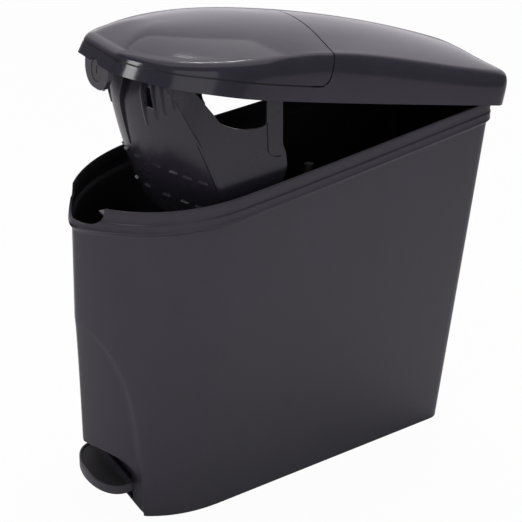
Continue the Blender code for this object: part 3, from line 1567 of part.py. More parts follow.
def lock_nut(axis):
    """Hexagon nut that clamps the lock behind the boss."""
    centre, out = lock_place()
    seat = centre - out * (TONGUE_THICKNESS + SEAT_GAP)
    body = rod("lock_nut", seat, seat - out * NUT_THICKNESS, NUT_RADIUS, 6)
    cut(body, rod("nut_bore", seat + out * OVERRUN, seat - out * OVERRUN * 2,
                  LOCK_RADIUS + RUNNING_GAP, ROUND_SIDES))
    for stock in list(body.modifiers):
        carry(stock.object, axis)
    return carry(keep(body, STEEL, 0.35, 1.0), axis)


def cam_seat():
    centre, out = lock_place()
    return centre - out * cam_back(), out


def lock_cam(axis):
    """Flat cam on the lock's inner end; it hangs down when unlocked."""
    seat, out = cam_seat()
    down = Vector((0, -out.z, out.y))
    down = down if down.z < 0 else -down
    side = Vector((1, 0, 0))
    outline = []
    half = CAM_WIDTH / 2
    for step in range(7):
        angle = math.pi * step / 6
        outline.append((half * math.cos(angle), -half * math.sin(angle)))
    for step in range(7):
        angle = math.pi * step / 6
        outline.append((-half * 0.7 * math.cos(angle), CAM_LENGTH - half * 0.7 + half * 0.7 * math.sin(angle)))
    rings = []
    for depth in (0.0, CAM_THICKNESS):
        level = seat - out * depth
        rings.append([level + side * a + down * b for a, b in outline])
    body = loft("lock_cam", rings)
    cut(body, rod("cam_hole", seat + out * OVERRUN, seat - out * OVERRUN,
                  CAM_SCREW_RADIUS / 2 + RUNNING_GAP))
    for stock in list(body.modifiers):
        carry(stock.object, axis)
    return carry(keep(body, STEEL, 0.35, 1.0), axis)


def lock_cam_screw(axis):
    seat, out = cam_seat()
    head = seat - out * (CAM_THICKNESS + SEAT_GAP)
    tail = head - out * CAM_SCREW_HEIGHT
    screw = turned_screw("lock_cam_screw", tail, head, CAM_THICKNESS + SEAT_GAP / 2,
                         CAM_SCREW_RADIUS, CAM_SCREW_RADIUS / 2)
    return carry(keep(screw, STEEL, 0.35, 1.0), axis)


def joint_empty(name, place, parent=None):
    """An empty on a joint's axis; pieces that move with it are its children."""
    empty = bpy.data.objects.new(name, None)
    empty.empty_display_size = RIM_WIDTH / 4
    empty.location = place if parent is None else Vector(place) - parent.location
    empty["home"] = list(place)
    if parent:
        empty.parent = parent
    bpy.data.collections[PARTS].objects.link(empty)
    return empty


def carry(body, empty):
    """Hang an object that is modelled shut from a joint's empty."""
    body.parent = empty
    body.matrix_parent_inverse = Matrix.Translation(-Vector(empty["home"]))
    return body


def build():
    wipe_scene()
    lid_axis = joint_empty("lid_axis", (0, HINGE_Y, HINGE_Z))
    flap_axis = joint_empty("flap_axis", (0, FLAP_AXIS_Y, FLAP_AXIS_HEIGHT), lid_axis)
    centre, _ = lock_place()
    lock_axis = joint_empty("lock_axis", centre, lid_axis)
    pedal_axis = joint_empty("pedal_axis", (0, AXLE_Y, AXLE_HEIGHT))
    rod_path = joint_empty("rod_path", (ROD_SIDE, ROD_Y, lever_top()))
    tub_shell()
    base_cover()
    base_cover_screws()
    carry(pedal(), pedal_axis)
    for step in bpy.data.objects["pedal"].modifiers:
        if getattr(step, "object", None):
            carry(step.object, pedal_axis)
    pedal_axle()
    axle_clips()
    for piece in (push_rod(), rod_foot(), rod_foot_pin(), rod_cap()):
        carry(piece, rod_path)
        for step in piece.modifiers:
            if getattr(step, "object", None):
                carry(step.object, rod_path)
    guide_block("rod_guide_lower", rim_height(ROD_Y) * LOW_GUIDE_SHARE)
    guide_block("rod_guide_upper", rim_height(ROD_Y) * HIGH_GUIDE_SHARE)
    lid_hinge_pin()
    hinge_pin_caps()
    lid_frame(lid_axis)
    flap_hinge_pins(lid_axis)
    flap_buffers(lid_axis)
    lock_nut(lid_axis)
    flap(flap_axis)
    tray(flap_axis)
    tray_screws(flap_axis)
    lock_barrel(lock_axis)
    lock_cam(lock_axis)
    lock_cam_screw(lock_axis)
    lid_axis.rotation_euler.x = -math.radians(LID_RAISE_DEGREES)
    bpy.context.view_layer.update()


build()
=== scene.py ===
"""Looks of the pedal sanitary container: moulded skins, finishes, studio and camera.

Metres, +Z up, the nose points along -Y. The skins follow the same outlines as the
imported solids, with finer steps, rounded rims and small moulded details. The lid's
pieces are shaped shut and then swung open about the lid's hinge.
"""
import json
import math

import bmesh
import bpy
from mathutils import Matrix, Vector


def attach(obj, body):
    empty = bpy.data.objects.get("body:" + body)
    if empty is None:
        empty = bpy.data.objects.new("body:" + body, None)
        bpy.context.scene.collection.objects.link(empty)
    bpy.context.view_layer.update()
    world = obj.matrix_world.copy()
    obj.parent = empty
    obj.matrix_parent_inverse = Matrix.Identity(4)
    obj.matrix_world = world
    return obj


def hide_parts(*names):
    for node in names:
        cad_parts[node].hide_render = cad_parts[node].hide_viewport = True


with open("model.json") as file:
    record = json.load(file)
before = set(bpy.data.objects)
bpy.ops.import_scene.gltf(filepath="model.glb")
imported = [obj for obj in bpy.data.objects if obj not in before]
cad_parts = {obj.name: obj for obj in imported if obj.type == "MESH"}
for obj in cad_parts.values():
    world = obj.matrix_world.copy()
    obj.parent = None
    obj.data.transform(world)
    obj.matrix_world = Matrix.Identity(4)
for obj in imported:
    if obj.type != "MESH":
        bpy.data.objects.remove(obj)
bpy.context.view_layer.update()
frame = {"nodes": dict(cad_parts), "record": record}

# Plan of the body
RIM_LENGTH = 0.490
RIM_WIDTH = 0.1974
RIM_BOW = 0.1444
BASE_WIDTH = 0.1694
BASE_BOW = 0.1342
NOSE_LEAN = 0.0010
BACK_LEAN = 0.0043
CORNER_RADIUS = 0.018
SIDE_TAPER_SHARE = 0.029
BOW_FULLNESS = 2.28
BOW_POINT = 1.40
BOW_STEPS = 56
SIDE_STEPS = 18
CORNER_STEPS = 8
BOW_CROWDING = 1.6

# Rim, walls and floor
RIM_NOSE_HEIGHT = 0.3738
RIM_SLOPE_SHARE = 0.1513
RIM_KNEE_BACK = 0.0172
RIM_KNEE_SPREAD = 0.0851
WALL = 0.0025
SKIRT_LIFT = 0.0005
FLOOR_HEIGHT = 0.058
FLOOR_THICKNESS = 0.0025
LEDGE_DEPTH = 0.0135
LEDGE_OUT = 0.0014
BAND_DEPTH = 0.0275
BAND_TUCK = 0.0012
BEAD_DIP = 0.0060
BEAD_DIP_WIDTH = 0.030
WALL_ROWS = 14

# Gaps, overrun of cutters and weld distance
SEAT_GAP = 0.0003
OVERRUN = 0.010
RUNNING_GAP = 0.0003
WELD = 0.00001

# Toe recess and the cove over the pedal
RECESS_HEIGHT = 0.239
RECESS_CHEEK = 0.0212
RECESS_DRAW = 0.0072
RECESS_DRAW_POWER = 0.7
RECESS_SIDE_SHARE = 0.05
RECESS_ARCH_POWER = 4.4
RECESS_ARCH_ROOT = 2.3
RECESS_EDGE = 0.006
RECESS_ROWS = 76
COVE_HEIGHT = 0.082
COVE_DEPTH = 0.051
COVE_POWER = 3.4
COVE_EDGE = 0.003
COVE_INSET = 0.0015

# Notch, latch slot and keeper
NOTCH_DEPTH = 0.0205
SLOT_WIDTH = 0.022
SLOT_HEIGHT = 0.0025
SLOT_DROP = 0.005
KEEPER_INSIDE = 0.016
KEEPER_DEPTH = 0.010
KEEPER_THICKNESS = 0.0025
NOTCH_STEPS = 12
NOTCH_HALF = 0.038
NOTCH_ROUND_SHARE = 2.2
NOTCH_FLAT_SHARE = 0.62
NOTCH_FALL = 1.7

# Pedal, its lever and the push rod
AXLE_BACK = 0.130
AXLE_HEIGHT = 0.0275
AXLE_RADIUS = 0.003
PAD_WIDTH = 0.095
PAD_FRONT = 0.0065
PAD_LENGTH = 0.0385
PAD_FLANK = 0.0050
PAD_BOW_POWER = 0.82
PAD_HEIGHT = 0.0405
PAD_THICKNESS = 0.0115
PAD_STEPS = 48
PAD_LIP = 0.0016
PAD_LIP_INSET = 0.0030
NECK_WIDTH = 0.058
LEVER_THICKNESS = 0.009
LEVER_DROP = 0.0005
SLOT_SIDE_GAP = 0.003
SLOT_TOP = 0.040
SLOT_FOOT = 0.0045
HUB_RADIUS = 0.0085
ARM_WIDTH = 0.018
ROD_INSET = 0.0287
ROD_BACK = 0.242
ROD_RADIUS = 0.0025
CAP_RADIUS = 0.0048
PAD_ROUND = 0.0011

# Hinge at the back
LID_RAISE_DEGREES = 18.03
HINGE_BEHIND = 0.0085
HINGE_DROP = 0.0484
PIN_RADIUS = 0.003
KNUCKLE_RADIUS = 0.0058
EAR_WIDTH = 0.008
EAR_SIDE = 0.022
EAR_FOOT_REACH = 0.010

# Lid
LID_LAP = 0.0105
NOSE_DROP = 0.0026
NOSE_DROP_START = 0.105
NOSE_DROP_RUN = 0.085
LID_GAP = 0.0024
LID_WALL = 0.0022
LID_NOSE_CUT = 0.0165
NOSE_ROUND = 0.002
CREST_RISE = 0.0351
CREST_FALL = 0.0521
CREST_BACK = 0.410
CREST_RUN = 0.325
CREST_POWER = 2.05
CORE_DROP = 0.120
SPINE_FRONT = 0.075
SPINE_BACK = 0.445
SHOULDER_NOSE = 0.0230
SHOULDER_SIDE = 0.052
SHOULDER_TAIL = 0.037
SHOULDER_RISE_BACK = 0.205
INSET_NOSE = 0.0098
INSET_SIDE = 0.0130
WALL_LEAN_SHARE = 0.36
CROWN_STEPS = 16
LID_WALL_ROWS = 16
CROWN_PASSES = 30
CROWN_FREE_ROWS = 12
CROWN_BLEND_ROWS = 10
CREST_TRIM = 0.00015
CREST_STEP = 0.002
SHOULDER_RISE_POWER = 1.5
WALL_SOFTNESS = 3.0
WALL_CROWDING = 1.6
CROWN_CROWDING = 1.3
CROWN_POWER = 1.7
CROWN_POWER_GAIN = 0.1

# Band under the flap, seam and inner lip
BAND_HEIGHT = 0.0150
BAND_NOSE_HEIGHT = 0.0115
SEAM_GAP = 0.0016
SEAM_SIDE_BACK = 0.2205
SEAM_BOW = 0.0015
SEAM_BOW_REACH = 0.088
SEAM_BOW_POWER = 3.5
SEAM_RADIUS = 0.013
SEAM_TOP = 0.560
SEAM_STATIONS = 40
LIP_RISE = 0.0040
LIP_INSET = 0.0004
LIP_INSET_TOP = 0.0014
LIP_WALL = 0.0010
SEAM_STEPS = 8
SEAM_CORNER_STEPS = 3

# Flap
FLAP_AXIS_BACK = 0.275
FLAP_AXIS_RISE = 0.0146
FLAP_PIN_RADIUS = 0.002
FLAP_PIN_LENGTH = 0.022
FLAP_EAR_RADIUS = 0.006
FLAP_EAR_WIDTH = 0.006
FLAP_EAR_DROP = 0.022
FLAP_LEG_BACK = 0.182
FLAP_LEG_LENGTH = 0.014
LUG_WIDTH = 0.004
SEAT_WIDTH = 0.0036
SEAT_REACH = 0.0075
SEAT_THICKNESS = 0.0020
SEAT_DROP = 0.0018
BUFFER_BACK_SHARES = (0.204, 0.3367)

# Tray
TRAY_INSET = 0.0157
TRAY_CLEAR = 0.0105
TRAY_WALL = 0.0022
TRAY_TOP = 0.390
TRAY_FOOT = 0.236
TRAY_EDGE_HEIGHT = 0.3482
TRAY_EDGE_BACK = 0.0791
TRAY_RAKE_SHARE = 0.929
TRAY_BULGE = 0.0605
TRAY_BULGE_LOSS = 0.027
TRAY_BULGE_RUN = 0.110
TRAY_NOSE_BACK = 0.050
TRAY_ROWS = 40
TRAY_STEPS = 28
FIN_WIDTH = 0.0018
FIN_SIDE_SHARES = (-0.84, -0.73, -0.62, -0.47, 0.05, 0.47, 0.62, 0.73, 0.84)
FIN_FOOT = 0.293
CLEAT_WIDTH = 0.0085
CLEAT_HEIGHT = 0.0042
CLEAT_REACH = 0.0032
CLEAT_RISE = 0.0205
CLEAT_PITCH = 0.029
CLEAT_ROWS = 2
CLEAT_SIDE_SHARES = (-0.90, -0.77, -0.64, -0.44, -0.15, 0.15, 0.44, 0.64, 0.77, 0.90)
ARM_TOP_FRONT = 0.1643
ARM_TOP_BACK = 0.1823
ARM_TOP_RISE = 0.0310
PLATE_BULGE_BACK = 0.2075
PLATE_LOBE = 0.020
TRAY_SCREW_RADIUS = 0.0014
TRAY_POST_RADIUS = 0.0036
FLANGE_THICKNESS = 0.0022
FIN_LEAST_SHARE = 0.12
FIN_CLIMB = 0.070
FIN_TOP = 0.368
FIN_REACH = 0.0042
FIN_STEPS = 10
SLOT_SIDE_SHARES = (0.49, 0.61)
TRAY_SLOT_LOW = 0.345
TRAY_SLOT_HIGH = 0.364
GROOVE_WIDTH = 0.0013
GROOVE_DEPTH = 0.0011
PLATE_PIPS = ((0.1822, 0.3732), (0.1565, 0.3109))
PIP_RADIUS = 0.0012
PIP_RISE = 0.0004
FIN_OVER = 0.005
TRAY_CORNER_RADIUS = 0.0030
TRAY_CORNER_FOOT = 0.239
TRAY_BOW_POWER = 2.1
PLATE_STEPS = 12
PLATE_CROWDING = 1.5
FIN_FADE_POWER = 4.5
CORNER_SIDES = 12

# Tongue and lock
TONGUE_WIDTH = 0.052
TONGUE_DROP = 0.0185
TONGUE_RISE = 0.0140
TONGUE_RADIUS = 0.021
TONGUE_THICKNESS = 0.0045
LOCK_BACK = 0.0173
LOCK_HEIGHT = 0.3625
LOCK_TILT_DEGREES = 13.3
LOCK_RADIUS = 0.0075
LOCK_FACE_RADIUS = 0.0110
LOCK_POCKET = 0.0018
LOCK_REAR = 0.0058
CAM_WIDTH = 0.008
CAM_THICKNESS = 0.0018
TONGUE_STEPS = 6

# Roundness, shading and broken edges
ROUND_SIDES = 48
SMALL_SIDES = 28
SHARP_DEGREES = 32
SMALL_EDGE = 0.0004
EDGE_DEGREES = 35

# Finishes
FLOW_SIZE = 0.060
RUB_SIZE = 0.035
GRAIN_SIZE = 0.0007
GRAIN_DEPTH = 0.00006
RIPPLE_SIZE = 0.030
RIPPLE_DEPTH = 0.0004
DRAWN_SIZE = 0.0012
# Painted shade inside the bin: share of the colour kept on inward faces, and the width of the mask's edge
PAINTED_INSIDE_SHADE = 0.30
PAINTED_SHADE_EDGE = 0.004
PLASTIC_IOR = 1.49
RUBBER_IOR = 1.5
FLOW_STRETCH = 0.45
FLOW_LIGHTER = 1.22
FLOW_LIFT = 0.002
FLOW_DARKER = 0.88
FLOW_ROUGHNESS = 0.10
RUB_LOW = 0.52
RUB_HIGH = 0.78
RUB_SHARE = 0.16
RUB_LIGHTER = 1.9
RUB_ROUGHNESS = 0.09
INSIDE_ROUGHNESS = 0.30
DRAWN_STRETCH = 6
BODY_COLOUR = (0.043, 0.040, 0.054)
LID_COLOUR = (0.040, 0.037, 0.051)
# The tray's colour is set darker than the lid's plastic to paint in the shade the tray hangs in under the
# lid
TRAY_COLOUR_WITH_PAINTED_SHADE = (0.028, 0.026, 0.036)
DARK_COLOUR = (0.020, 0.020, 0.022)
LOCK_COLOUR = (0.034, 0.034, 0.038)
STEEL_DARK = (0.42, 0.42, 0.43)
STEEL_LIGHT = (0.66, 0.66, 0.67)
RUBBER_DARK = (0.009, 0.009, 0.009)
RUBBER_LIGHT = (0.018, 0.018, 0.019)

# Studio, sky and camera
FLOOR_GLOW_SHARE = 0.965
FLOOR_RADIUS = 8.0
FLOOR_DROP = 0.0002
WORLD_LIGHT = 0.11
CAMERA_TURN = 55.778
CAMERA_LIFT = 27.0385
CAMERA_ROLL = 3.0005
CAMERA_DISTANCE = 1.2976
CAMERA_LENS = 76.39
CAMERA_ASIDE = -0.008654
CAMERA_HEIGHT = 0.253207
SKY_LIGHT = 1.02
SKY_AIM = (-0.70, 0.45, 0.55)
SKY_EDGE = 0.50
SKY_FULL = 0.80
SKY_COLOUR = (1.0, 0.95, 1.02, 1.0)
FLOOR_COLOUR = (0.92, 0.92, 0.92, 1)
WHITE = (1, 1, 1, 1)

# Sockets of a colour Mix node
MIX_SHARE = 0
MIX_FIRST = 6
MIX_SECOND = 7
MIX_COLOUR = 2

# Rolled rim band: depth below the rim and reach outward
BAND_PROFILE = (
    (0.0000, -0.0012), (0.0002, -0.0007), (0.0007, -0.0002), (0.0014, 0.0000),
    (0.0070, 0.0002), (0.0128, 0.0004), (0.0134, 0.0006), (0.0140, 0.0011),
    (0.0147, 0.0014), (0.0155, 0.0015), (0.0212, 0.0017), (0.0222, 0.0020),
    (0.0229, 0.0023), (0.0236, 0.0023), (0.0243, 0.0020), (0.0252, 0.0011),
    (0.0262, 0.0001), (0.0271, -0.0008), (0.0282, -0.0012), (0.0300, -0.0012),
)

# Side plate's rear edge, from its foot to the arm: back from the nose and height
PLATE_TAIL = (
    (0.1990, 0.2380), (0.2065, 0.2620), (0.2120, 0.2850), (0.2145, 0.3000),
    (0.2153, 0.3115), (0.2148, 0.3185), (0.2117, 0.3260), (0.2062, 0.3352),
    (0.2020, 0.3392), (0.1994, 0.3430), (0.1978, 0.3470), (0.1827, 0.3849),
)

# Side plate's hollow upper edge, from the arm to the front
PLATE_SADDLE = (
    (0.1628, 0.3836), (0.1722, 0.3590), (0.1690, 0.3556), (0.1633, 0.3528),
    (0.1485, 0.3489), (0.1380, 0.3480), (0.1275, 0.3488), (0.1205, 0.3502),
    (0.1155, 0.3520), (0.1071, 0.3578), (0.0936, 0.3666), (0.0798, 0.3762),
)

# Groove beside each arm
GROOVE_LINE = (
    (0.1722, 0.3600), (0.1839, 0.3330), (0.1860, 0.3300), (0.1896, 0.3284),
    (0.1964, 0.3277), (0.2023, 0.3296),
)

# Places and sizes that follow
NOSE = -RIM_LENGTH / 2
BACK = RIM_LENGTH / 2
BASE_NOSE = NOSE - NOSE_LEAN
BASE_BACK = BACK - BACK_LEAN
HINGE_Y = BACK + HINGE_BEHIND
AXLE_Y = NOSE + AXLE_BACK
ROD_Y = NOSE + ROD_BACK
FLAP_AXIS_Y = NOSE + FLAP_AXIS_BACK
LID_OUT = LID_GAP + LID_WALL
RECESS_WIDTH = BASE_WIDTH - RECESS_CHEEK * 2
ROD_SIDE = RIM_WIDTH / 2 - ROD_INSET
TRAY_HALF = RIM_WIDTH / 2 - TRAY_INSET
CLEAT_LOW = TRAY_FOOT + CLEAT_RISE
ARM_Y = NOSE + (ARM_TOP_FRONT + ARM_TOP_BACK) / 2


def rim_height(y):
    """Height of the rim's top edge, level at the nose and climbing to the back."""
    bend = math.log1p(math.exp((y - NOSE - RIM_KNEE_BACK) / RIM_KNEE_SPREAD))
    return RIM_NOSE_HEIGHT + RIM_SLOPE_SHARE * RIM_KNEE_SPREAD * bend


HINGE_Z = rim_height(BACK) - HINGE_DROP
CREST_HEIGHT = rim_height(BACK) + CREST_RISE
FLAP_AXIS_HEIGHT = rim_height(FLAP_AXIS_Y) + FLAP_AXIS_RISE
FLAP_EAR_LOW = FLAP_AXIS_HEIGHT - FLAP_EAR_DROP
ARM_TOP = rim_height(NOSE + ARM_TOP_BACK) + ARM_TOP_RISE


def arc(centre, radius, start, sweep, steps=SMALL_SIDES // 2):
    """Points round a centre, from a starting angle through a sweep."""
    angles = [start + sweep * step / steps for step in range(steps + 1)]
    return [(centre[0] + radius * math.cos(angle), centre[1] + radius * math.sin(angle)) for angle in angles]


def half_outline(nose, back, width, bow):
    """One side of the plan from the nose's tip to the middle of the back."""
    half = width / 2
    points = []
    for step in range(BOW_STEPS + 1):
        share = (step / BOW_STEPS) ** BOW_CROWDING
        reach = (1 - (1 - share) ** BOW_FULLNESS) ** (1 / BOW_POINT)
        points.append(Vector((half * reach, nose + bow * share)))
    start = nose + bow
    end = back - CORNER_RADIUS
    for step in range(1, SIDE_STEPS + 1):
        y = start + (end - start) * step / SIDE_STEPS
        points.append(Vector((half - SIDE_TAPER_SHARE * (y - start), y)))
    centre = points[-1] - Vector((CORNER_RADIUS, 0))
    for step in range(1, CORNER_STEPS + 1):
        angle = math.pi / 2 * step / CORNER_STEPS
        points.append(centre + CORNER_RADIUS * Vector((math.cos(angle), math.sin(angle))))
    points.append(Vector((0, back)))
    return points


def outward(points):
    """Unit normals of a half outline; the two ends lie on the middle plane."""
    normals = []
    for index in range(len(points)):
        before = points[max(index - 1, 0)]
        after = points[min(index + 1, len(points) - 1)]
        run = after - before
        normals.append(Vector((run.y, -run.x)).normalized())
    normals[0] = Vector((0, -1))
    normals[-1] = Vector((0, 1))
    return normals


RIM_PLAN = half_outline(NOSE, BACK, RIM_WIDTH, RIM_BOW)
BASE_PLAN = half_outline(BASE_NOSE, BASE_BACK, BASE_WIDTH, BASE_BOW)
RIM_NORMALS = outward(RIM_PLAN)


def plan_half_width(y):
    """Half width of the rim's plan at a place along the body."""
    for before, after in zip(RIM_PLAN, RIM_PLAN[1:]):
        if before.y <= y <= after.y and after.y > before.y:
            share = (y - before.y) / (after.y - before.y)
            return before.x + (after.x - before.x) * share
    return 0.0


def ease(share):
    """From nothing to one, level at both ends."""
    share = min(max(share, 0.0), 1.0)
    return share * share * (3 - 2 * share)


def smooth_max(first, second, blend):
    """The larger of two lengths, with the change rounded over blend."""
    middle = (first + second) / 2
    return middle + math.hypot((first - second) / 2, blend / 2)


def recess_half_width(z):
    """Half width of the arch shaped recess in the nose at one height."""
    share = min(z / RECESS_HEIGHT, 1.0)
    arch = (1 - share ** RECESS_ARCH_POWER) ** (1 / RECESS_ARCH_ROOT)
    return RECESS_WIDTH / 2 * arch * (1 - RECESS_SIDE_SHARE * share)


def cove_y(z):
    """Back of the deep cove over the pedal."""
    share = min(z / COVE_HEIGHT, 1.0)
    return BASE_NOSE + COVE_DEPTH * math.sqrt(1 - share ** COVE_POWER)


def wall_point(index, z, out=0.0, recessed=True):
    """A point of the body's outer wall on one station of the plan."""
    low = BASE_PLAN[index]
    high = RIM_PLAN[index]
    place = low + (high - low) * (z / rim_height(high.y)) + RIM_NORMALS[index] * out
    if recessed and z < RECESS_HEIGHT and place.y < 0:
        inside = recess_half_width(z) - place.x
        draw = RECESS_DRAW * (1 - z / RECESS_HEIGHT) ** RECESS_DRAW_POWER
        place -= RIM_NORMALS[index] * draw * ease(inside / RECESS_EDGE)
        if z < COVE_HEIGHT and inside > COVE_INSET:
            place.y = smooth_max(place.y, cove_y(z), COVE_EDGE)
    x = 0.0 if index in (0, len(RIM_PLAN) - 1) else place.x
    return Vector((x, place.y, z))


def from_bmesh(name, shape):
    """Turn a bmesh into an object that isn't filed yet."""
    bmesh.ops.recalc_face_normals(shape, faces=shape.faces)
    mesh = bpy.data.meshes.new(name)
    shape.to_mesh(mesh)
    shape.free()
    return bpy.data.objects.new(name, mesh)


def box(name, low, high):
    """A block between two corners."""
    shape = bmesh.new()
    low, high = Vector(low), Vector(high)
    size = high - low
    place = Matrix.Translation((low + high) / 2) @ Matrix.Diagonal((*size, 1.0))
    bmesh.ops.create_cube(shape, size=1.0, matrix=place)
    return from_bmesh(name, shape)


def rod(name, start, end, radius, sides=SMALL_SIDES):
    """A round bar between two points."""
    start, end = Vector(start), Vector(end)
    run = end - start
    turn = run.to_track_quat("Z", "Y").to_matrix().to_4x4()
    shape = bmesh.new()
    bmesh.ops.create_cone(
        shape,
        cap_ends=True,
        segments=sides,
        radius1=radius,
        radius2=radius,
        depth=run.length,
        matrix=Matrix.Translation((start + end) / 2) @ turn,
    )
    return from_bmesh(name, shape)


def rod_across(name, y, z, half, radius, sides=SMALL_SIDES):
    """A round bar that runs from side to side."""
    return rod(name, (-half, y, z), (half, y, z), radius, sides)


FACING_X = Matrix(((0, 0, 1, 0), (1, 0, 0, 0), (0, 1, 0, 0), (0, 0, 0, 1)))
FACING_Y = Matrix(((1, 0, 0, 0), (0, 0, -1, 0), (0, 1, 0, 0), (0, 0, 0, 1)))
FACING_Z = Matrix.Identity(4)


def plate(name, points, low, high, facing=FACING_Z):
    """A flat outline, filled and given its thickness between two levels."""
    curve = bpy.data.curves.new(name + "_outline", "CURVE")
    curve.dimensions = "2D"
    curve.fill_mode = "BOTH"
    curve.extrude = (high - low) / 2
    line = curve.splines.new("POLY")
    line.points.add(len(points) - 1)
    for knot, point in zip(line.points, points):
        knot.co = (point[0], point[1], 0.0, 1.0)
    line.use_cyclic_u = True
    outline = bpy.data.objects.new(name + "_outline", curve)
    outline.matrix_world = facing @ Matrix.Translation((0, 0, (low + high) / 2))
    bpy.context.scene.collection.objects.link(outline)
    bpy.context.view_layer.update()
    ready = outline.evaluated_get(bpy.context.evaluated_depsgraph_get())
    mesh = bpy.data.meshes.new_from_object(ready)
    mesh.transform(outline.matrix_world)
    bpy.data.objects.remove(outline, do_unlink=True)
    shape = bmesh.new()
    shape.from_mesh(mesh)
    bmesh.ops.remove_doubles(shape, verts=shape.verts, dist=WELD)
    bpy.data.meshes.remove(mesh)
    return from_bmesh(name, shape)


def sheet(shape, rows, order=1):
    """Square faces between the rows of a grid of points."""
    grid = [[shape.verts.new(point) for point in row] for row in rows]
    for upper, lower in zip(grid, grid[1:]):
        for column in range(len(upper) - 1):
            corners = (upper[column], lower[column], lower[column + 1], upper[column + 1])
            shape.faces.new(corners[::order])


def surface(name, rows, thickness):
    """A mirrored shell over a grid of points, thickened inward."""
    shape = bmesh.new()
    sheet(shape, rows)
    bmesh.ops.remove_doubles(shape, verts=shape.verts, dist=WELD)
    mesh = bpy.data.meshes.new(name)
    shape.to_mesh(mesh)
    shape.free()
    body = bpy.data.objects.new(name, mesh)
    mirror = body.modifiers.new("other_side", "MIRROR")
    mirror.use_clip = True
    mirror.merge_threshold = WELD * 5
    shell = body.modifiers.new("wall", "SOLIDIFY")
    shell.thickness = thickness
    shell.offset = -1
    shell.use_even_offset = True
    return body


def loft(name, rings):
    """A closed solid through rings of equal counts, capped at both ends."""
    shape = bmesh.new()
    grid = [[shape.verts.new(point) for point in ring] for ring in rings]
    for first, second in zip(grid, grid[1:]):
        for index in range(len(first)):
            after = (index + 1) % len(first)
            shape.faces.new((first[index], first[after], second[after], second[index]))
    shape.faces.new(grid[0])
    shape.faces.new(list(reversed(grid[-1])))
    return from_bmesh(name, shape)


def boolean(body, other, operation):
    """One cut, join or trim, left on the piece as a modifier."""
    step = body.modifiers.new(other.name, "BOOLEAN")
    step.operation = operation
    step.solver = "MANIFOLD"
    step.object = other
    return body


def tool(body):
    """File stock or a cutter that is used up when a moulding is finished."""
    bpy.context.scene.collection.objects.link(body)
    body.hide_render = True
    return body


def cut(body, other):
    """Take a cutter out of a piece."""
    return boolean(body, tool(other), "DIFFERENCE")


def join(body, other):
    """Mould more stock onto a piece."""
    return boolean(body, tool(other), "UNION")


def trim(body, other):
    """Keep only what lies inside another shape."""
    return boolean(body, tool(other), "INTERSECT")


def merged(name, bodies):
    """Several separate solids under one name."""
    shape = bmesh.new()
    for body in bodies:
        mesh = body.data.copy()
        mesh.transform(body.matrix_world)
        shape.from_mesh(mesh)
        bpy.data.meshes.remove(mesh)
        bpy.data.objects.remove(body, do_unlink=True)
    return from_bmesh(name, shape)


def across(side, inner, outer):
    """A stretch of x on one side of the middle, its low end first."""
    return sorted((side * inner, side * outer))


def paired(name, make):
    """The same thing made on both sides, as one."""
    return merged(name, [make(side) for side in (-1, 1)])


def both_sides(half):
    """A closed outline from a half outline that starts and ends on the middle."""
    return list(half) + [Vector((-p.x, p.y)) for p in reversed(half[1:-1])]


def baked(body):
    """Turn an object and its modifiers into a plain mesh object."""
    bpy.context.scene.collection.objects.link(body)
    bpy.context.view_layer.update()
    ready = body.evaluated_get(bpy.context.evaluated_depsgraph_get())
    mesh = bpy.data.meshes.new_from_object(ready)
    mesh.transform(body.matrix_world)
    name = body.name
    bpy.data.objects.remove(body, do_unlink=True)
    shape = bmesh.new()
    shape.from_mesh(mesh)
    bpy.data.meshes.remove(mesh)
    return from_bmesh(name, shape)


def within(body, limit):
    """Stock cut down to a limiting shape before it is moulded on."""
    bpy.context.scene.collection.objects.link(limit)
    boolean(body, limit, "INTERSECT")
    ready = baked(body)
    bpy.data.objects.remove(limit, do_unlink=True)
    return ready


def bevelled(body, width):
    """Break a moulding's hard edges."""
    edge = body.modifiers.new("edge", "BEVEL")
    edge.width = width
    edge.segments = 3
    edge.limit_method = "ANGLE"
    edge.angle_limit = math.radians(EDGE_DEGREES)
    edge.harden_normals = False
    return body


def moulded(body, edge=0.0, swing=None):
    """Finish a moulding: apply its cuts, swing it into place and shade it."""
    name = body.name
    stock = [step.object for step in body.modifiers if getattr(step, "object", None)]
    body.name = name + "_stock"
    piece = baked(body)
    piece.name = name
    for item in stock:
        bpy.data.objects.remove(item, do_unlink=True)
    if edge:
        bevelled(piece, edge)
        piece = baked(piece)
        piece.name = name
    if swing:
        piece.data.transform(swing)
    bpy.context.scene.collection.objects.link(piece)
    piece.data.shade_smooth()
    piece.data.set_sharp_from_angle(angle=math.radians(SHARP_DEGREES))
    return piece


def swung_open():
    """The turn that raises the lid from shut to where it stands."""
    hinge = Matrix.Translation((0, HINGE_Y, HINGE_Z))
    return hinge @ Matrix.Rotation(-math.radians(LID_RAISE_DEGREES), 4, "X") @ hinge.inverted()


def clean_half(half):
    """Drop points that crowd together or cross the middle."""
    kept = [Vector((0, half[0].y))]
    for point in half[1:-1]:
        if point.x > WALL / 2 and (point - kept[-1]).length > WALL / 2:
            kept.append(point)
    kept.append(Vector((0, half[-1].y)))
    return kept


def cam_back():
    """How far behind the tongue's face the cam lies."""
    return LOCK_POCKET + LOCK_REAR + SEAT_GAP


def edge_back(x):
    """How far behind the nose's tip the rim reaches a half width."""
    for before, after in zip(RIM_PLAN, RIM_PLAN[1:]):
        if before.x <= x <= after.x:
            share = (x - before.x) / (after.x - before.x)
            return before.y + (after.y - before.y) * share - NOSE
    return 0.0


def pad_outline(inset=0.0):
    """The pedal's pad from above: straight behind, bowed in front."""
    half = PAD_WIDTH / 2 - inset
    front = BASE_NOSE + PAD_FRONT + inset
    rear = BASE_NOSE + PAD_FRONT + PAD_LENGTH - inset
    points = []
    flank = rear - PAD_FLANK
    for step in range(PAD_STEPS + 1):
        angle = math.pi * step / PAD_STEPS
        bow = max(math.sin(angle), 0.0) ** PAD_BOW_POWER
        points.append((-half * math.cos(angle), flank - (flank - front) * bow))
    points += [(half, rear), (-half, rear)]
    return points


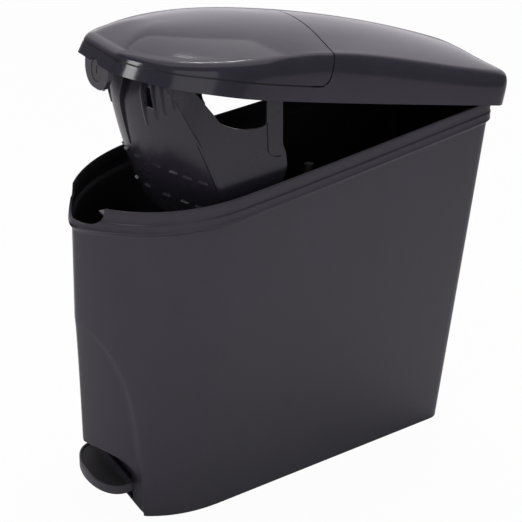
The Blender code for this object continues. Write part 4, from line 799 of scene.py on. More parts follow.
def lid_plan():
    """The lid skirt's outer outline, with the nose blunted for the lock boss."""
    points = []
    cut_y = NOSE - LID_OUT + LID_NOSE_CUT
    for index, point in enumerate(RIM_PLAN):
        place = point + RIM_NORMALS[index] * LID_OUT
        place.y = smooth_max(place.y, cut_y, NOSE_ROUND)
        if index in (0, len(RIM_PLAN) - 1):
            place.x = 0.0
        points.append(place)
    return points


def lid_foot(y):
    """Height of the shut lid's lower edge."""
    return rim_height(min(max(y, NOSE), BACK)) - LID_LAP - NOSE_DROP * toward_nose(y)


def toward_nose(y):
    """Grows from nothing on the sides to one at the nose."""
    return ease((NOSE + NOSE_DROP_START - y) / NOSE_DROP_RUN)


def band_height(y):
    """Height of the band under the flap, lower at the nose."""
    return BAND_HEIGHT - (BAND_HEIGHT - BAND_NOSE_HEIGHT) * toward_nose(y)


def crest(y):
    """Height of the lid along its middle."""
    fall = abs(NOSE + CREST_BACK - y) / CREST_RUN
    if y > NOSE + CREST_BACK:
        return CREST_HEIGHT
    return CREST_HEIGHT - CREST_FALL * fall ** CREST_POWER


def seam_height(y):
    """Height of the band's upper edge, where the flap's lower edge meets it."""
    return lid_foot(y) + band_height(y)


def lid_core(name):
    """All that lies under the middle of the lid's wall, and some way below."""
    rows = lid_rows()
    rows.append([point - Vector((0, 0, CORE_DROP)) for point in rows[-1]])
    shape = bmesh.new()
    for side in (1, -1):
        sheet(shape, [[(point.x * side, point.y, point.z) for point in row] for row in rows], side)
    bmesh.ops.remove_doubles(shape, verts=shape.verts, dist=WELD)
    bmesh.ops.holes_fill(shape, edges=shape.edges, sides=0)
    bmesh.ops.recalc_face_normals(shape, faces=shape.faces)
    shape.normal_update()
    for vertex, normal in [(v, v.normal.copy()) for v in shape.verts]:
        vertex.co -= normal * LID_WALL / 2
    return from_bmesh(name, shape)


def seam_y(x):
    """Plan of the seam between the flap and the back of the lid."""
    share = min(abs(x) / SEAM_BOW_REACH, 1.0)
    return NOSE + SEAM_SIDE_BACK - SEAM_BOW * (1 - share ** SEAM_BOW_POWER)


def flap_region(name, gap):
    """The space of the flap: in front of the seam and above the band."""
    rings = []
    reach = RIM_WIDTH / 2 + OVERRUN * 2
    front = NOSE - OVERRUN * 3
    for station in range(-SEAM_STATIONS // 2, SEAM_STATIONS // 2 + 1):
        x = reach * station / (SEAM_STATIONS / 2)
        back = seam_y(x) - gap
        bend = back - SEAM_RADIUS
        ring = []
        for step in range(SEAM_STEPS + 1):
            y = front + (bend - front) * step / SEAM_STEPS
            ring.append(Vector((x, y, seam_height(y) + gap)))
        base = ring[-1].z
        for step in range(1, SEAM_CORNER_STEPS + 1):
            angle = math.pi / 2 * step / SEAM_CORNER_STEPS
            ring.append(Vector((
                x,
                bend + SEAM_RADIUS * math.sin(angle),
                base + SEAM_RADIUS * (1 - math.cos(angle)),
            )))
        ring.append(Vector((x, back, SEAM_TOP)))
        ring.append(Vector((x, front, SEAM_TOP)))
        rings.append(ring)
    return loft(name, rings)


def lock_place():
    """Centre of the lock on the tongue's face and its outward direction, lid shut."""
    tilt = math.radians(LOCK_TILT_DEGREES)
    centre = Vector((0, NOSE + LOCK_BACK, LOCK_HEIGHT))
    return centre, Vector((0, -math.cos(tilt), -math.sin(tilt)))


def tongue_stock():
    """Round cornered tongue that hangs from the band's nose and holds the lock."""
    centre, out = lock_place()
    up = Vector((0, out.z, -out.y))
    half = TONGUE_WIDTH / 2
    corner = (half - TONGUE_RADIUS, TONGUE_RADIUS - TONGUE_DROP)
    outline = [(half, TONGUE_RISE)] + arc(corner, TONGUE_RADIUS, 0, -math.pi / 2, TONGUE_STEPS)
    outline += [(-x, rise) for x, rise in reversed(outline)]
    rings = []
    for depth in (0.0, TONGUE_THICKNESS):
        level = centre - out * depth
        rings.append([level + Vector((x, 0, 0)) + up * rise for x, rise in outline])
    return loft("tongue_stock", rings)


def seat_top(y):
    """Height of the seats that the flap rests on."""
    return seam_height(y) - SEAT_DROP


def flap_foot(y):
    """Height of the shut flap's lower edge."""
    return seam_height(y) + SEAM_GAP


def seat_tabs(name, level):
    """Tabs on the inside of the lid's wall with the buffers between them."""
    tabs = []
    for back in (share * RIM_LENGTH for share in BUFFER_BACK_SHARES):
        y = NOSE + back
        outer = plan_half_width(y) + LID_OUT
        for side in (-1, 1):
            low, high = across(side, outer - LID_WALL - SEAT_REACH, outer)
            tabs.append(box(
                f"{name}_{back}_{side}",
                (low, y - SEAT_WIDTH, level(y)),
                (high, y + SEAT_WIDTH, level(y) + SEAT_THICKNESS),
            ))
    return within(merged(name, tabs), lid_core(name + "_limit"))


def lid_ear_stock():
    """Two ears that run down outside the body's back wall to the hinge pin."""
    top = lid_foot(BACK) + EAR_FOOT_REACH
    points = arc((HINGE_Y, HINGE_Z), KNUCKLE_RADIUS, 0, -math.pi)
    points.append((HINGE_Y - KNUCKLE_RADIUS, top - EAR_FOOT_REACH * 0.6))
    points.append((BACK + LID_GAP + LID_WALL / 2, top))
    points.append((HINGE_Y + KNUCKLE_RADIUS * 0.2, top - EAR_FOOT_REACH * 0.5))
    points.append((HINGE_Y + KNUCKLE_RADIUS, top - EAR_FOOT_REACH * 1.6))

    def ear(side):
        low = side * EAR_SIDE - EAR_WIDTH / 2
        return plate(f"lid_ear_{side}", points, low, low + EAR_WIDTH, FACING_X)
    return paired("lid_ears", ear)


def flap_lug_stock():
    """Lugs under the back of the lid that hold the flap's pins."""
    inner = ROD_SIDE + FLAP_EAR_WIDTH / 2 + RUNNING_GAP
    points = arc((FLAP_AXIS_Y, FLAP_AXIS_HEIGHT), FLAP_EAR_RADIUS, 0, -math.pi)
    points.append((FLAP_AXIS_Y - FLAP_EAR_RADIUS, CREST_HEIGHT))
    points.append((FLAP_AXIS_Y + FLAP_EAR_RADIUS, CREST_HEIGHT))

    def lug(side):
        return plate(f"flap_lug_{side}", points, *across(side, inner, inner + LUG_WIDTH), FACING_X)
    return within(paired("flap_lugs", lug), lid_core("lug_limit"))


def flap_ear_stock():
    """Cranked ears that reach from the flap back under the lid to its axis."""
    leg_back = NOSE + FLAP_LEG_BACK
    leg_front = leg_back - FLAP_LEG_LENGTH
    points = [
        (leg_front, CREST_HEIGHT),
        (leg_front, FLAP_EAR_LOW + FLAP_EAR_RADIUS),
        (leg_front + FLAP_EAR_RADIUS, FLAP_EAR_LOW),
        (ROD_Y + CAP_RADIUS * 2, FLAP_EAR_LOW),
    ]
    points += arc((FLAP_AXIS_Y, FLAP_AXIS_HEIGHT), FLAP_EAR_RADIUS, -math.pi / 2.6, math.pi)
    points.append((leg_back + FLAP_EAR_RADIUS, FLAP_EAR_LOW + FLAP_EAR_RADIUS * 1.4))
    points.append((leg_back, FLAP_EAR_LOW + FLAP_EAR_RADIUS * 2.2))
    points.append((leg_back, CREST_HEIGHT))

    def ear(side):
        low = side * ROD_SIDE - FLAP_EAR_WIDTH / 2
        return plate(f"flap_ear_{side}", points, low, low + FLAP_EAR_WIDTH, FACING_X)
    return within(paired("flap_ears", ear), lid_core("ear_limit"))


def tray_post_stock():
    """Posts under the flap that the tray's arms are screwed to."""
    posts = []
    for index, place in enumerate(tray_screw_places()):
        low = place + Vector((0, 0, SEAT_GAP))
        high = Vector((place.x, place.y, CREST_HEIGHT))
        posts.append(rod(f"tray_post_{index}", low, high, TRAY_POST_RADIUS))
    return within(merged("tray_posts", posts), lid_core("post_limit"))


def tray_side(y):
    """Half width of the tray's sides, drawn in to follow the nose."""
    return min(TRAY_HALF, plan_half_width(y) - TRAY_CLEAR)


def tray_edge_y(z):
    """Where the tray's front meets its sides."""
    return NOSE + TRAY_EDGE_BACK - (z - TRAY_EDGE_HEIGHT) * TRAY_RAKE_SHARE


def tray_front_y(share, z):
    """The tray's bowed front at a share of its half width."""
    rise = (z - TRAY_FOOT) / TRAY_BULGE_RUN
    bulge = TRAY_BULGE - TRAY_BULGE_LOSS * max(rise, 0.0) ** 2
    bowed = tray_edge_y(z) - max(bulge, 0.0) * (1 - abs(share) ** TRAY_BOW_POWER)
    return smooth_max(bowed, NOSE + TRAY_NOSE_BACK, NOSE_ROUND)


def tray_front_point(x, z):
    """A point on the tray's front."""
    half = tray_side(tray_edge_y(z))
    return Vector((x, tray_front_y(min(abs(x) / half, 1.0), z), z))


def tray_plates_stock():
    """Both side plates: upright walls along the tray's plan, cut to the profile."""
    start = tray_edge_y(TRAY_TOP)
    end = NOSE + PLATE_BULGE_BACK + PLATE_LOBE
    low = TRAY_FOOT - OVERRUN
    high = ARM_TOP + OVERRUN

    def wall(side):
        rings = []
        for step in range(PLATE_STEPS + 1):
            y = start + (end - start) * (step / PLATE_STEPS) ** PLATE_CROWDING
            outer = side * tray_side(y)
            inner = side * (tray_side(y) - TRAY_WALL)
            corners = ((inner, low), (outer, low), (outer, high), (inner, high))
            rings.append([Vector((x, y, z)) for x, z in corners])
        return loft(f"tray_wall_{side}", rings)
    stock = paired("tray_plates", wall)
    profile = plate("tray_profile", plate_profile(), -TRAY_HALF - OVERRUN, TRAY_HALF + OVERRUN, FACING_X)
    return within(stock, profile)


def tray_screw_places():
    """Screws through the arms' top flanges, up into the flap."""
    x = (tray_side(ARM_Y) - TRAY_WALL + flange_inside()) / 2
    return [Vector((side * x, ARM_Y, ARM_TOP)) for side in (-1, 1)]


def flange_inside():
    """The arms' top flanges end beside the flap's ears."""
    return ROD_SIDE + FLAP_EAR_WIDTH / 2 + SEAT_GAP


def tray_flange_stock():
    """Flanges on top of the arms, which the screws pass through."""
    def flange(side):
        low, high = across(side, flange_inside(), tray_side(ARM_Y) - TRAY_WALL / 2)
        return box(
            f"flange_{side}",
            (low, NOSE + ARM_TOP_FRONT, ARM_TOP - FLANGE_THICKNESS),
            (high, NOSE + ARM_TOP_BACK, ARM_TOP),
        )
    return paired("tray_flanges", flange)


def recess_outline(z, inset):
    """The outline at one height with an even inset from the recess as well."""
    half = [Vector((p.x, p.y)) for p in (wall_point(i, z) for i in range(len(RIM_PLAN)))]
    normals = outward(half)
    moved = [point - normal * inset for point, normal in zip(half, normals)]
    return clean_half(moved)


def tub_rows():
    """Grid of the body's outer face, from the rim down to the base."""
    rows = []
    for depth, out in BAND_PROFILE:
        row = []
        for index, point in enumerate(RIM_PLAN):
            top = rim_height(point.y)
            dip = BEAD_DIP * math.exp(-((point.x / BEAD_DIP_WIDTH) ** 2)) if point.y < 0 else 0.0
            share = max(depth - LEDGE_DEPTH - LEDGE_OUT, 0.0) / (BAND_DEPTH - LEDGE_DEPTH - LEDGE_OUT)
            row.append(wall_point(index, top - depth - dip * share, out, recessed=False))
        rows.append(row)
    band_foot = BAND_PROFILE[-1][0]
    nose_top = rim_height(NOSE) - band_foot - BEAD_DIP
    heights = []
    for step in range(1, WALL_ROWS):
        heights.append(RECESS_HEIGHT + (nose_top - RECESS_HEIGHT) * (1 - step / WALL_ROWS))
    for step in range(RECESS_ROWS + 1):
        heights.append(SKIRT_LIFT + (RECESS_HEIGHT - SKIRT_LIFT) * (1 - step / RECESS_ROWS))
    for height in heights:
        row = []
        for index, point in enumerate(RIM_PLAN):
            climb = (rim_height(point.y) - band_foot - BEAD_DIP) / nose_top
            z = SKIRT_LIFT + (height - SKIRT_LIFT) * climb
            row.append(wall_point(index, z, -BAND_TUCK * height / nose_top))
        rows.append(row)
    return rows


def notch_stock():
    """A soft cornered opening in the rim at the nose, wider at the top."""
    sill = rim_height(NOSE) - NOTCH_DEPTH
    outline = []
    for side in (1, -1):
        curve = []
        for step in range(NOTCH_STEPS + 1):
            share = step / NOTCH_STEPS
            x = NOTCH_HALF * (1 - share ** NOTCH_ROUND_SHARE * NOTCH_FLAT_SHARE)
            drop = (1 - (1 - share) ** NOTCH_FALL) * NOTCH_DEPTH
            curve.append((side * x, sill + NOTCH_DEPTH - drop))
        curve = [(side * NOTCH_HALF, sill + NOTCH_DEPTH + OVERRUN)] + curve
        outline += curve if side > 0 else curve[::-1]
    back = NOSE + edge_back(NOTCH_HALF) + OVERRUN / 2
    return plate("rim_notch", outline, -back, -NOSE + OVERRUN, FACING_Y)


def tub_skin():
    """The bin's body with its rolled rim band, arched toe recess and rim notch."""
    body = surface("bin_body", tub_rows(), WALL)
    cut(body, notch_stock())
    sill = rim_height(NOSE) - NOTCH_DEPTH - SLOT_DROP
    cut(body, box(
        "latch_slot",
        (-SLOT_WIDTH / 2, NOSE - OVERRUN, sill - SLOT_HEIGHT),
        (SLOT_WIDTH / 2, NOSE + OVERRUN, sill),
    ))
    cut(body, box(
        "pedal_slot",
        (-NECK_WIDTH / 2 - SLOT_SIDE_GAP, BASE_NOSE + COVE_DEPTH - OVERRUN * 2, SLOT_FOOT),
        (NECK_WIDTH / 2 + SLOT_SIDE_GAP, BASE_NOSE + COVE_DEPTH + OVERRUN * 2, SLOT_TOP),
    ))
    return moulded(body)


def tub_floor():
    """Raised floor with the hole that the push rod passes through."""
    outline = both_sides(recess_outline(FLOOR_HEIGHT, WALL + SEAT_GAP))
    deck = plate("bin_floor", outline, FLOOR_HEIGHT, FLOOR_HEIGHT + FLOOR_THICKNESS)
    low = (ROD_SIDE, ROD_Y, FLOOR_HEIGHT - OVERRUN)
    high = (ROD_SIDE, ROD_Y, FLOOR_HEIGHT + OVERRUN)
    cut(deck, rod("rod_hole", low, high, ROD_RADIUS + RUNNING_GAP * 2))
    return moulded(deck)


def tub_lugs():
    """Hinge lugs on the back wall, each a round end with a web to the wall."""
    wall_y = BACK - WALL - BACK_LEAN / 4
    profile = arc((HINGE_Y, HINGE_Z), KNUCKLE_RADIUS, math.pi / 2, -math.pi)
    profile.append((wall_y, HINGE_Z - KNUCKLE_RADIUS * 2.4))
    profile.append((wall_y, HINGE_Z + KNUCKLE_RADIUS))
    inner = EAR_SIDE + EAR_WIDTH / 2 + RUNNING_GAP

    def lug(side):
        return plate(f"lug_{side}", profile, *across(side, inner, inner + EAR_WIDTH), FACING_X)
    body = paired("hinge_lugs", lug)
    cut(body, rod_across("hinge_bore", HINGE_Y, HINGE_Z, NECK_WIDTH, PIN_RADIUS + RUNNING_GAP))
    return moulded(body, edge=SMALL_EDGE)


def keeper_bar():
    """A bar across one end of the rim's notch; the lock's cam turns under it."""
    centre, out = lock_place()
    low = centre.z + out.z * cam_back() * -1 + CAM_WIDTH / 2 + SLOT_SIDE_GAP / 3
    rear = centre.y + cam_back() + CAM_THICKNESS + KEEPER_DEPTH / 2
    bar = box(
        "keeper",
        (KEEPER_INSIDE, rear - KEEPER_DEPTH, low),
        (RIM_WIDTH / 2, rear, low + KEEPER_THICKNESS),
    )
    half = [point - normal * WALL / 2 for point, normal in zip(RIM_PLAN, RIM_NORMALS)]
    limit = plate("keeper_limit", both_sides(clean_half(half)), low - OVERRUN, low + OVERRUN)
    bar = within(bar, limit)
    bar.name = "keeper_bar"
    return moulded(bar, edge=SMALL_EDGE)


def softened(columns):
    """Even out the lid's crown from column to column; its lower wall stays as it is."""
    for _ in range(CROWN_PASSES):
        mirrored = [[Vector((-p.x, p.y, p.z)) for p in columns[index]] for index in (1, -2)]
        before = [mirrored[0], *columns, mirrored[1]]
        columns = []
        for last, column, following in zip(before, before[1:], before[2:]):
            row = []
            for step, point in enumerate(column):
                weight = min(max((step - CROWN_FREE_ROWS) / CROWN_BLEND_ROWS, 0.0), 1.0) / 2
                row.append(point * (1 - weight) + (last[step] + following[step]) * weight / 2)
            columns.append(row)
    return columns


def lid_wall_column(point, normal):
    """The lid's wall over one point of its plan, from the lower edge to the shoulder."""
    back = point.y - NOSE
    toward_side = min(max(back / SHOULDER_RISE_BACK, 0.0), 1.0) ** SHOULDER_RISE_POWER
    toward_tail = ease((back - SHOULDER_RISE_BACK) / (RIM_LENGTH - SHOULDER_RISE_BACK))
    rise = SHOULDER_NOSE + (SHOULDER_SIDE - SHOULDER_NOSE) * toward_side
    rise += (SHOULDER_TAIL - SHOULDER_SIDE) * toward_tail
    inset = INSET_NOSE + (INSET_SIDE - INSET_NOSE) * toward_side
    softness = WALL_SOFTNESS - toward_side
    foot = lid_foot(point.y)
    column = []
    for step in range(LID_WALL_ROWS + 1):
        share = 1 - (1 - step / LID_WALL_ROWS) ** WALL_CROWDING
        lean = WALL_LEAN_SHARE * share + (1 - WALL_LEAN_SHARE) * share ** (2 + 2 * softness)
        place = point - normal * inset * lean
        column.append(Vector((place.x, place.y, foot + rise * share)))
    return column, softness


def lid_rows():
    """Grid of the lid's outer face, from the lower edge up to the crest line."""
    plan = lid_plan()
    columns = []
    for point, normal in zip(plan, outward(plan)):
        column, softness = lid_wall_column(point, normal)
        top = column[-1]
        spine_share = (point.y - plan[0].y) / (plan[-1].y - plan[0].y)
        spine_y = NOSE + SPINE_FRONT + (SPINE_BACK - SPINE_FRONT) * spine_share
        peak = crest(spine_y) - CREST_TRIM
        slope = (crest(spine_y + CREST_STEP) - crest(spine_y - CREST_STEP)) / (2 * CREST_STEP)
        run_on = slope * (spine_y - top.y)
        for step in range(1, CROWN_STEPS + 1):
            share = (step / CROWN_STEPS) ** CROWN_CROWDING
            lift = 1 - (1 - share) ** (CROWN_POWER + CROWN_POWER_GAIN * softness)
            column.append(Vector((
                top.x * (1 - share),
                top.y + (spine_y - top.y) * share,
                top.z + (peak - top.z) * lift - run_on * (1 - share) * share ** 2,
            )))
        columns.append(column)
    columns = softened(columns)
    for column in (columns[0], columns[-1]):
        for point in column:
            point.x = 0.0
    return [list(row) for row in zip(*columns)][::-1]


def seam_lip():
    """Inner lip on the band that the flap's lower edge closes over."""
    plan = lid_plan()
    profile = (
        (LIP_RISE, LIP_INSET_TOP),
        (0.0, LIP_INSET),
        (-LIP_RISE, LIP_INSET),
        (-LIP_RISE, 0.0),
    )
    rows = []
    for rise, inset in profile:
        row = []
        for point, normal in zip(plan, outward(plan)):
            if point.y > seam_y(point.x) - SEAM_RADIUS:
                break
            place = point - normal * (LID_WALL + inset)
            row.append(Vector((max(place.x, 0.0), place.y, seam_height(point.y) + rise)))
        row[0].x = 0.0
        rows.append(row)
    return moulded(surface("seam_lip", rows, LIP_WALL), swing=swung_open())


def lid_skin():
    """Back of the lid, the band round the nose and the tongue for the lock."""
    body = surface("lid_shell", lid_rows(), LID_WALL)
    cut(body, flap_region("flap_space", 0.0))
    join(body, seat_tabs("flap_seats", lambda y: seat_top(y) - SEAT_THICKNESS))
    centre, out = lock_place()
    join(body, tongue_stock())
    outside = centre + out * OVERRUN
    pocket = LOCK_FACE_RADIUS + RUNNING_GAP * 2
    cut(body, rod("lock_pocket", centre - out * LOCK_POCKET, outside, pocket, ROUND_SIDES))
    bore = LOCK_RADIUS + RUNNING_GAP
    cut(body, rod("lock_bore", centre - out * OVERRUN * 2, outside, bore, ROUND_SIDES))
    join(body, lid_ear_stock())
    join(body, flap_lug_stock())
    reach = EAR_SIDE + EAR_WIDTH + OVERRUN
    cut(body, rod_across("lid_hinge_bore", HINGE_Y, HINGE_Z, reach, PIN_RADIUS + RUNNING_GAP))
    return moulded(body, swing=swung_open())


def flap_skin():
    """Domed flap over the nose with its hinge ears and screw posts."""
    body = surface("flap_shell", lid_rows(), LID_WALL)
    trim(body, flap_region("flap_limit", SEAM_GAP))
    join(body, seat_tabs("flap_rests", flap_foot))
    join(body, flap_ear_stock())
    join(body, tray_post_stock())
    reach = ROD_SIDE + FLAP_PIN_LENGTH
    bore = FLAP_PIN_RADIUS + RUNNING_GAP
    cut(body, rod_across("flap_ear_bore", FLAP_AXIS_Y, FLAP_AXIS_HEIGHT, reach, bore))
    return moulded(body, swing=swung_open())


def plate_profile():
    """The tray's side plate and arm in side view, lid shut."""
    points = [(tray_edge_y(TRAY_TOP), TRAY_TOP), (tray_edge_y(TRAY_FOOT), TRAY_FOOT)]
    points += [(NOSE + back, height) for back, height in PLATE_TAIL]
    points.append((NOSE + ARM_TOP_BACK, ARM_TOP))
    points.append((NOSE + ARM_TOP_FRONT, ARM_TOP))
    points += [(NOSE + back, height) for back, height in PLATE_SADDLE]
    return points


def ribbon(points, width):
    """Outline of a narrow band that follows a line of points."""
    sides = ([], [])
    for index, point in enumerate(points):
        before, after = points[max(index - 1, 0)], points[min(index + 1, len(points) - 1)]
        along = (Vector(after) - Vector(before)).normalized()
        across = Vector((-along.y, along.x)) * width / 2
        sides[0].append(tuple(Vector(point) + across))
        sides[1].append(tuple(Vector(point) - across))
    return sides[0] + sides[1][::-1]


def plate_marks():
    """Groove beside each arm, and the pips on each side plate."""
    outline = ribbon([(NOSE + back, height) for back, height in GROOVE_LINE], GROOVE_WIDTH)
    pips = []
    for side in (-1, 1):
        for index, (back, height) in enumerate(PLATE_PIPS):
            face = tray_side(NOSE + back)
            root = Vector((side * (face - TRAY_WALL / 2), NOSE + back, height))
            tip = Vector((side * (face + PIP_RISE), NOSE + back, height))
            pips.append(rod(f"pip_{side}_{index}", root, tip, PIP_RADIUS))

    def groove(side):
        faces = across(side, TRAY_HALF - GROOVE_DEPTH, TRAY_HALF + OVERRUN)
        return plate(f"groove_{side}", outline, *faces, FACING_X)
    return paired("plate_grooves", groove), merged("plate_pips", pips)


def tray_fin_stock():
    """Gussets from the front up to its lip, deepest near the middle."""
    fins = []
    for index, share in enumerate(FIN_SIDE_SHARES):
        x = share * TRAY_HALF
        foot = FIN_FOOT + FIN_CLIMB * abs(share)
        half = tray_side(tray_edge_y(FIN_TOP))
        fade = 1 - min(abs(x) / half, 1.0) ** FIN_FADE_POWER
        reach = FIN_REACH * max(fade, FIN_LEAST_SHARE)
        low, high = x - FIN_WIDTH / 2, x + FIN_WIDTH / 2
        rings = []
        for step in range(FIN_STEPS + 1):
            z = foot + (FIN_TOP + FIN_OVER - foot) * step / FIN_STEPS
            face = tray_front_point(x, z).y
            edge = face - reach * min((z - foot) / (FIN_TOP - foot), 1.0) - TRAY_WALL / 2
            root = face + TRAY_WALL / 2
            corners = ((low, edge), (high, edge), (high, root), (low, root))
            rings.append([Vector((*corner, z)) for corner in corners])
        fins.append(loft(f"fin_{index}", rings))
    return merged("tray_fins", fins)


def tray_cleat_stock():
    """Two rows of small cleats, evenly spaced along the bowed front."""
    cleats = []
    for row in range(CLEAT_ROWS):
        z = CLEAT_LOW + CLEAT_PITCH * row
        for index, share in enumerate(CLEAT_SIDE_SHARES):
            x = share * TRAY_HALF
            ahead = tray_front_point(x + CLEAT_REACH, z).y
            slope = (ahead - tray_front_point(x - CLEAT_REACH, z).y) / CLEAT_REACH / 2
            half = CLEAT_WIDTH / 2 / math.sqrt(1 + slope * slope)
            rings = []
            for place in (x - half, x, x + half):
                y = tray_front_point(place, z).y
                rings.append([
                    Vector((place, y - CLEAT_REACH, z)),
                    Vector((place, y + TRAY_WALL * 0.6, z)),
                    Vector((place, y + TRAY_WALL * 0.3, z + CLEAT_HEIGHT)),
                    Vector((place, y - CLEAT_REACH * 0.3, z + CLEAT_HEIGHT)),
                ])
            cleats.append(loft(f"cleat_{row}_{index}", rings))
    return merged("tray_cleats", cleats)


def tray_corner_stock():
    """Rounded corners where the front turns into the side plates."""
    def corner(side):
        rings = []
        for step in range(TRAY_ROWS + 1):
            z = TRAY_CORNER_FOOT + (TRAY_TOP - TRAY_CORNER_FOOT) * step / TRAY_ROWS
            y = tray_edge_y(z)
            x = side * (tray_side(y) - TRAY_CORNER_RADIUS * 0.8)
            centre = Vector((x, y + TRAY_CORNER_RADIUS * 0.5, z))
            angles = [math.tau * turn / CORNER_SIDES for turn in range(CORNER_SIDES)]
            spokes = [Vector((math.cos(angle), math.sin(angle), 0)) for angle in angles]
            rings.append([centre + spoke * TRAY_CORNER_RADIUS for spoke in spokes])
        return loft(f"corner_{side}", rings)
    return paired("tray_corners", corner)


def tray_windows():
    """Slots through the front between the two inner pairs of fins."""
    inner, outer = (share * TRAY_HALF for share in SLOT_SIDE_SHARES)

    def window(side):
        low, high = across(side, inner, outer)
        return box(
            f"tray_slot_{side}",
            (low, NOSE, TRAY_SLOT_LOW),
            (high, tray_edge_y(TRAY_SLOT_LOW), TRAY_SLOT_HIGH),
        )
    return paired("tray_slots", window)


def tray_skin():
    """Modesty tray: bowed ribbed front, two side plates and their arms."""
    rows = []
    for step in range(TRAY_ROWS + 1):
        z = TRAY_TOP - (TRAY_TOP - TRAY_FOOT) * step / TRAY_ROWS
        half = tray_side(tray_edge_y(z)) - TRAY_WALL / 2
        spread = [half * math.sin(math.pi / 2 * column / TRAY_STEPS) for column in range(TRAY_STEPS + 1)]
        rows.append([Vector((x, tray_front_point(x, z).y, z)) for x in spread])
    body = surface("modesty_tray", rows, TRAY_WALL)
    join(body, tray_plates_stock())
    cut(body, tray_windows())
    for stock in (tray_fin_stock, tray_cleat_stock, tray_flange_stock, tray_corner_stock):
        join(body, stock())
    grooves, pips = plate_marks()
    cut(body, grooves)
    join(body, pips)
    reach = Vector((0, 0, OVERRUN))
    radius = TRAY_SCREW_RADIUS + RUNNING_GAP
    holes = []
    for index, place in enumerate(tray_screw_places()):
        holes.append(rod(f"tray_hole_{index}", place - reach, place + reach, radius))
    cut(body, merged("tray_holes", holes))
    return moulded(body, swing=swung_open())


def pedal_skin():
    """Foot pad with its raised lip, neck, hub and lever arm."""
    pad = plate("foot_pedal", pad_outline(), PAD_HEIGHT - PAD_THICKNESS, PAD_HEIGHT)
    low = AXLE_HEIGHT - LEVER_THICKNESS / 2 - LEVER_DROP
    rear = BASE_NOSE + PAD_FRONT + PAD_LENGTH
    neck = NECK_WIDTH / 2
    arm_outside = ROD_SIDE + ARM_WIDTH / 2 - ARM_WIDTH / 3
    stem = (
        (-neck, rear - PAD_LENGTH / 4),
        (neck, rear - PAD_LENGTH / 4),
        (neck, AXLE_Y + ARM_WIDTH / 2),
        (arm_outside, ROD_Y - ARM_WIDTH),
        (arm_outside, ROD_Y + ARM_WIDTH / 2),
        (ROD_SIDE - ARM_WIDTH / 2, ROD_Y + ARM_WIDTH / 2),
        (ROD_SIDE - ARM_WIDTH / 2, ROD_Y - ARM_WIDTH / 2),
        (neck - ARM_WIDTH, AXLE_Y + ARM_WIDTH),
        (-neck, AXLE_Y + ARM_WIDTH / 2),
    )
    cut(pad, plate("pad_dish", pad_outline(PAD_LIP_INSET), PAD_HEIGHT - PAD_LIP, PAD_HEIGHT + OVERRUN))
    bevelled(pad, PAD_ROUND)
    join(pad, plate("lever_stock", stem, low, low + LEVER_THICKNESS))
    hub_radius = HUB_RADIUS - RUNNING_GAP * 3
    join(pad, rod_across("hub_stock", AXLE_Y, AXLE_HEIGHT, neck, hub_radius, ROUND_SIDES))
    cut(pad, rod_across("hub_bore", AXLE_Y, AXLE_HEIGHT, NECK_WIDTH, AXLE_RADIUS + RUNNING_GAP))
    return moulded(pad)


class Number:
    """A number socket that takes part in sums."""

    def __init__(self, nodes, socket):
        self.nodes = nodes
        self.socket = socket

    def worked(self, operation, first, second):
        """The result of one Math node."""
        node = self.nodes.node("ShaderNodeMath", {"operation": operation}, {0: first, 1: second})
        return Number(self.nodes, node.outputs[0])

    def __add__(self, other):
        return self.worked("ADD", self, other)

    def __sub__(self, other):
        return self.worked("SUBTRACT", self, other)

    def __rsub__(self, other):
        return self.worked("SUBTRACT", other, self)

    def __mul__(self, other):
        return self.worked("MULTIPLY", self, other)

    __radd__ = __add__
    __rmul__ = __mul__


class Nodes:
    """The nodes of one material or world."""

    def __init__(self, tree):
        self.tree = tree

    def node(self, kind, settings=None, feeds=None):
        """A node with its settings, then the values or links of its sockets."""
        node = self.tree.nodes.new(kind)
        for name, value in (settings or {}).items():
            setattr(node, name, value)
        for key, value in (feeds or {}).items():
            self.feed(node.inputs[key], value)
        return node

    def feed(self, socket, value):
        """Link a socket, or set it to a plain value."""
        value = getattr(value, "socket", value)
        if isinstance(value, bpy.types.NodeSocket):
            self.tree.links.new(value, socket)
        else:
            socket.default_value = value

    def seen_by_camera(self):
        """One where the camera looks straight at it, otherwise nothing."""
        return Number(self, self.node("ShaderNodeLightPath").outputs["Is Camera Ray"])


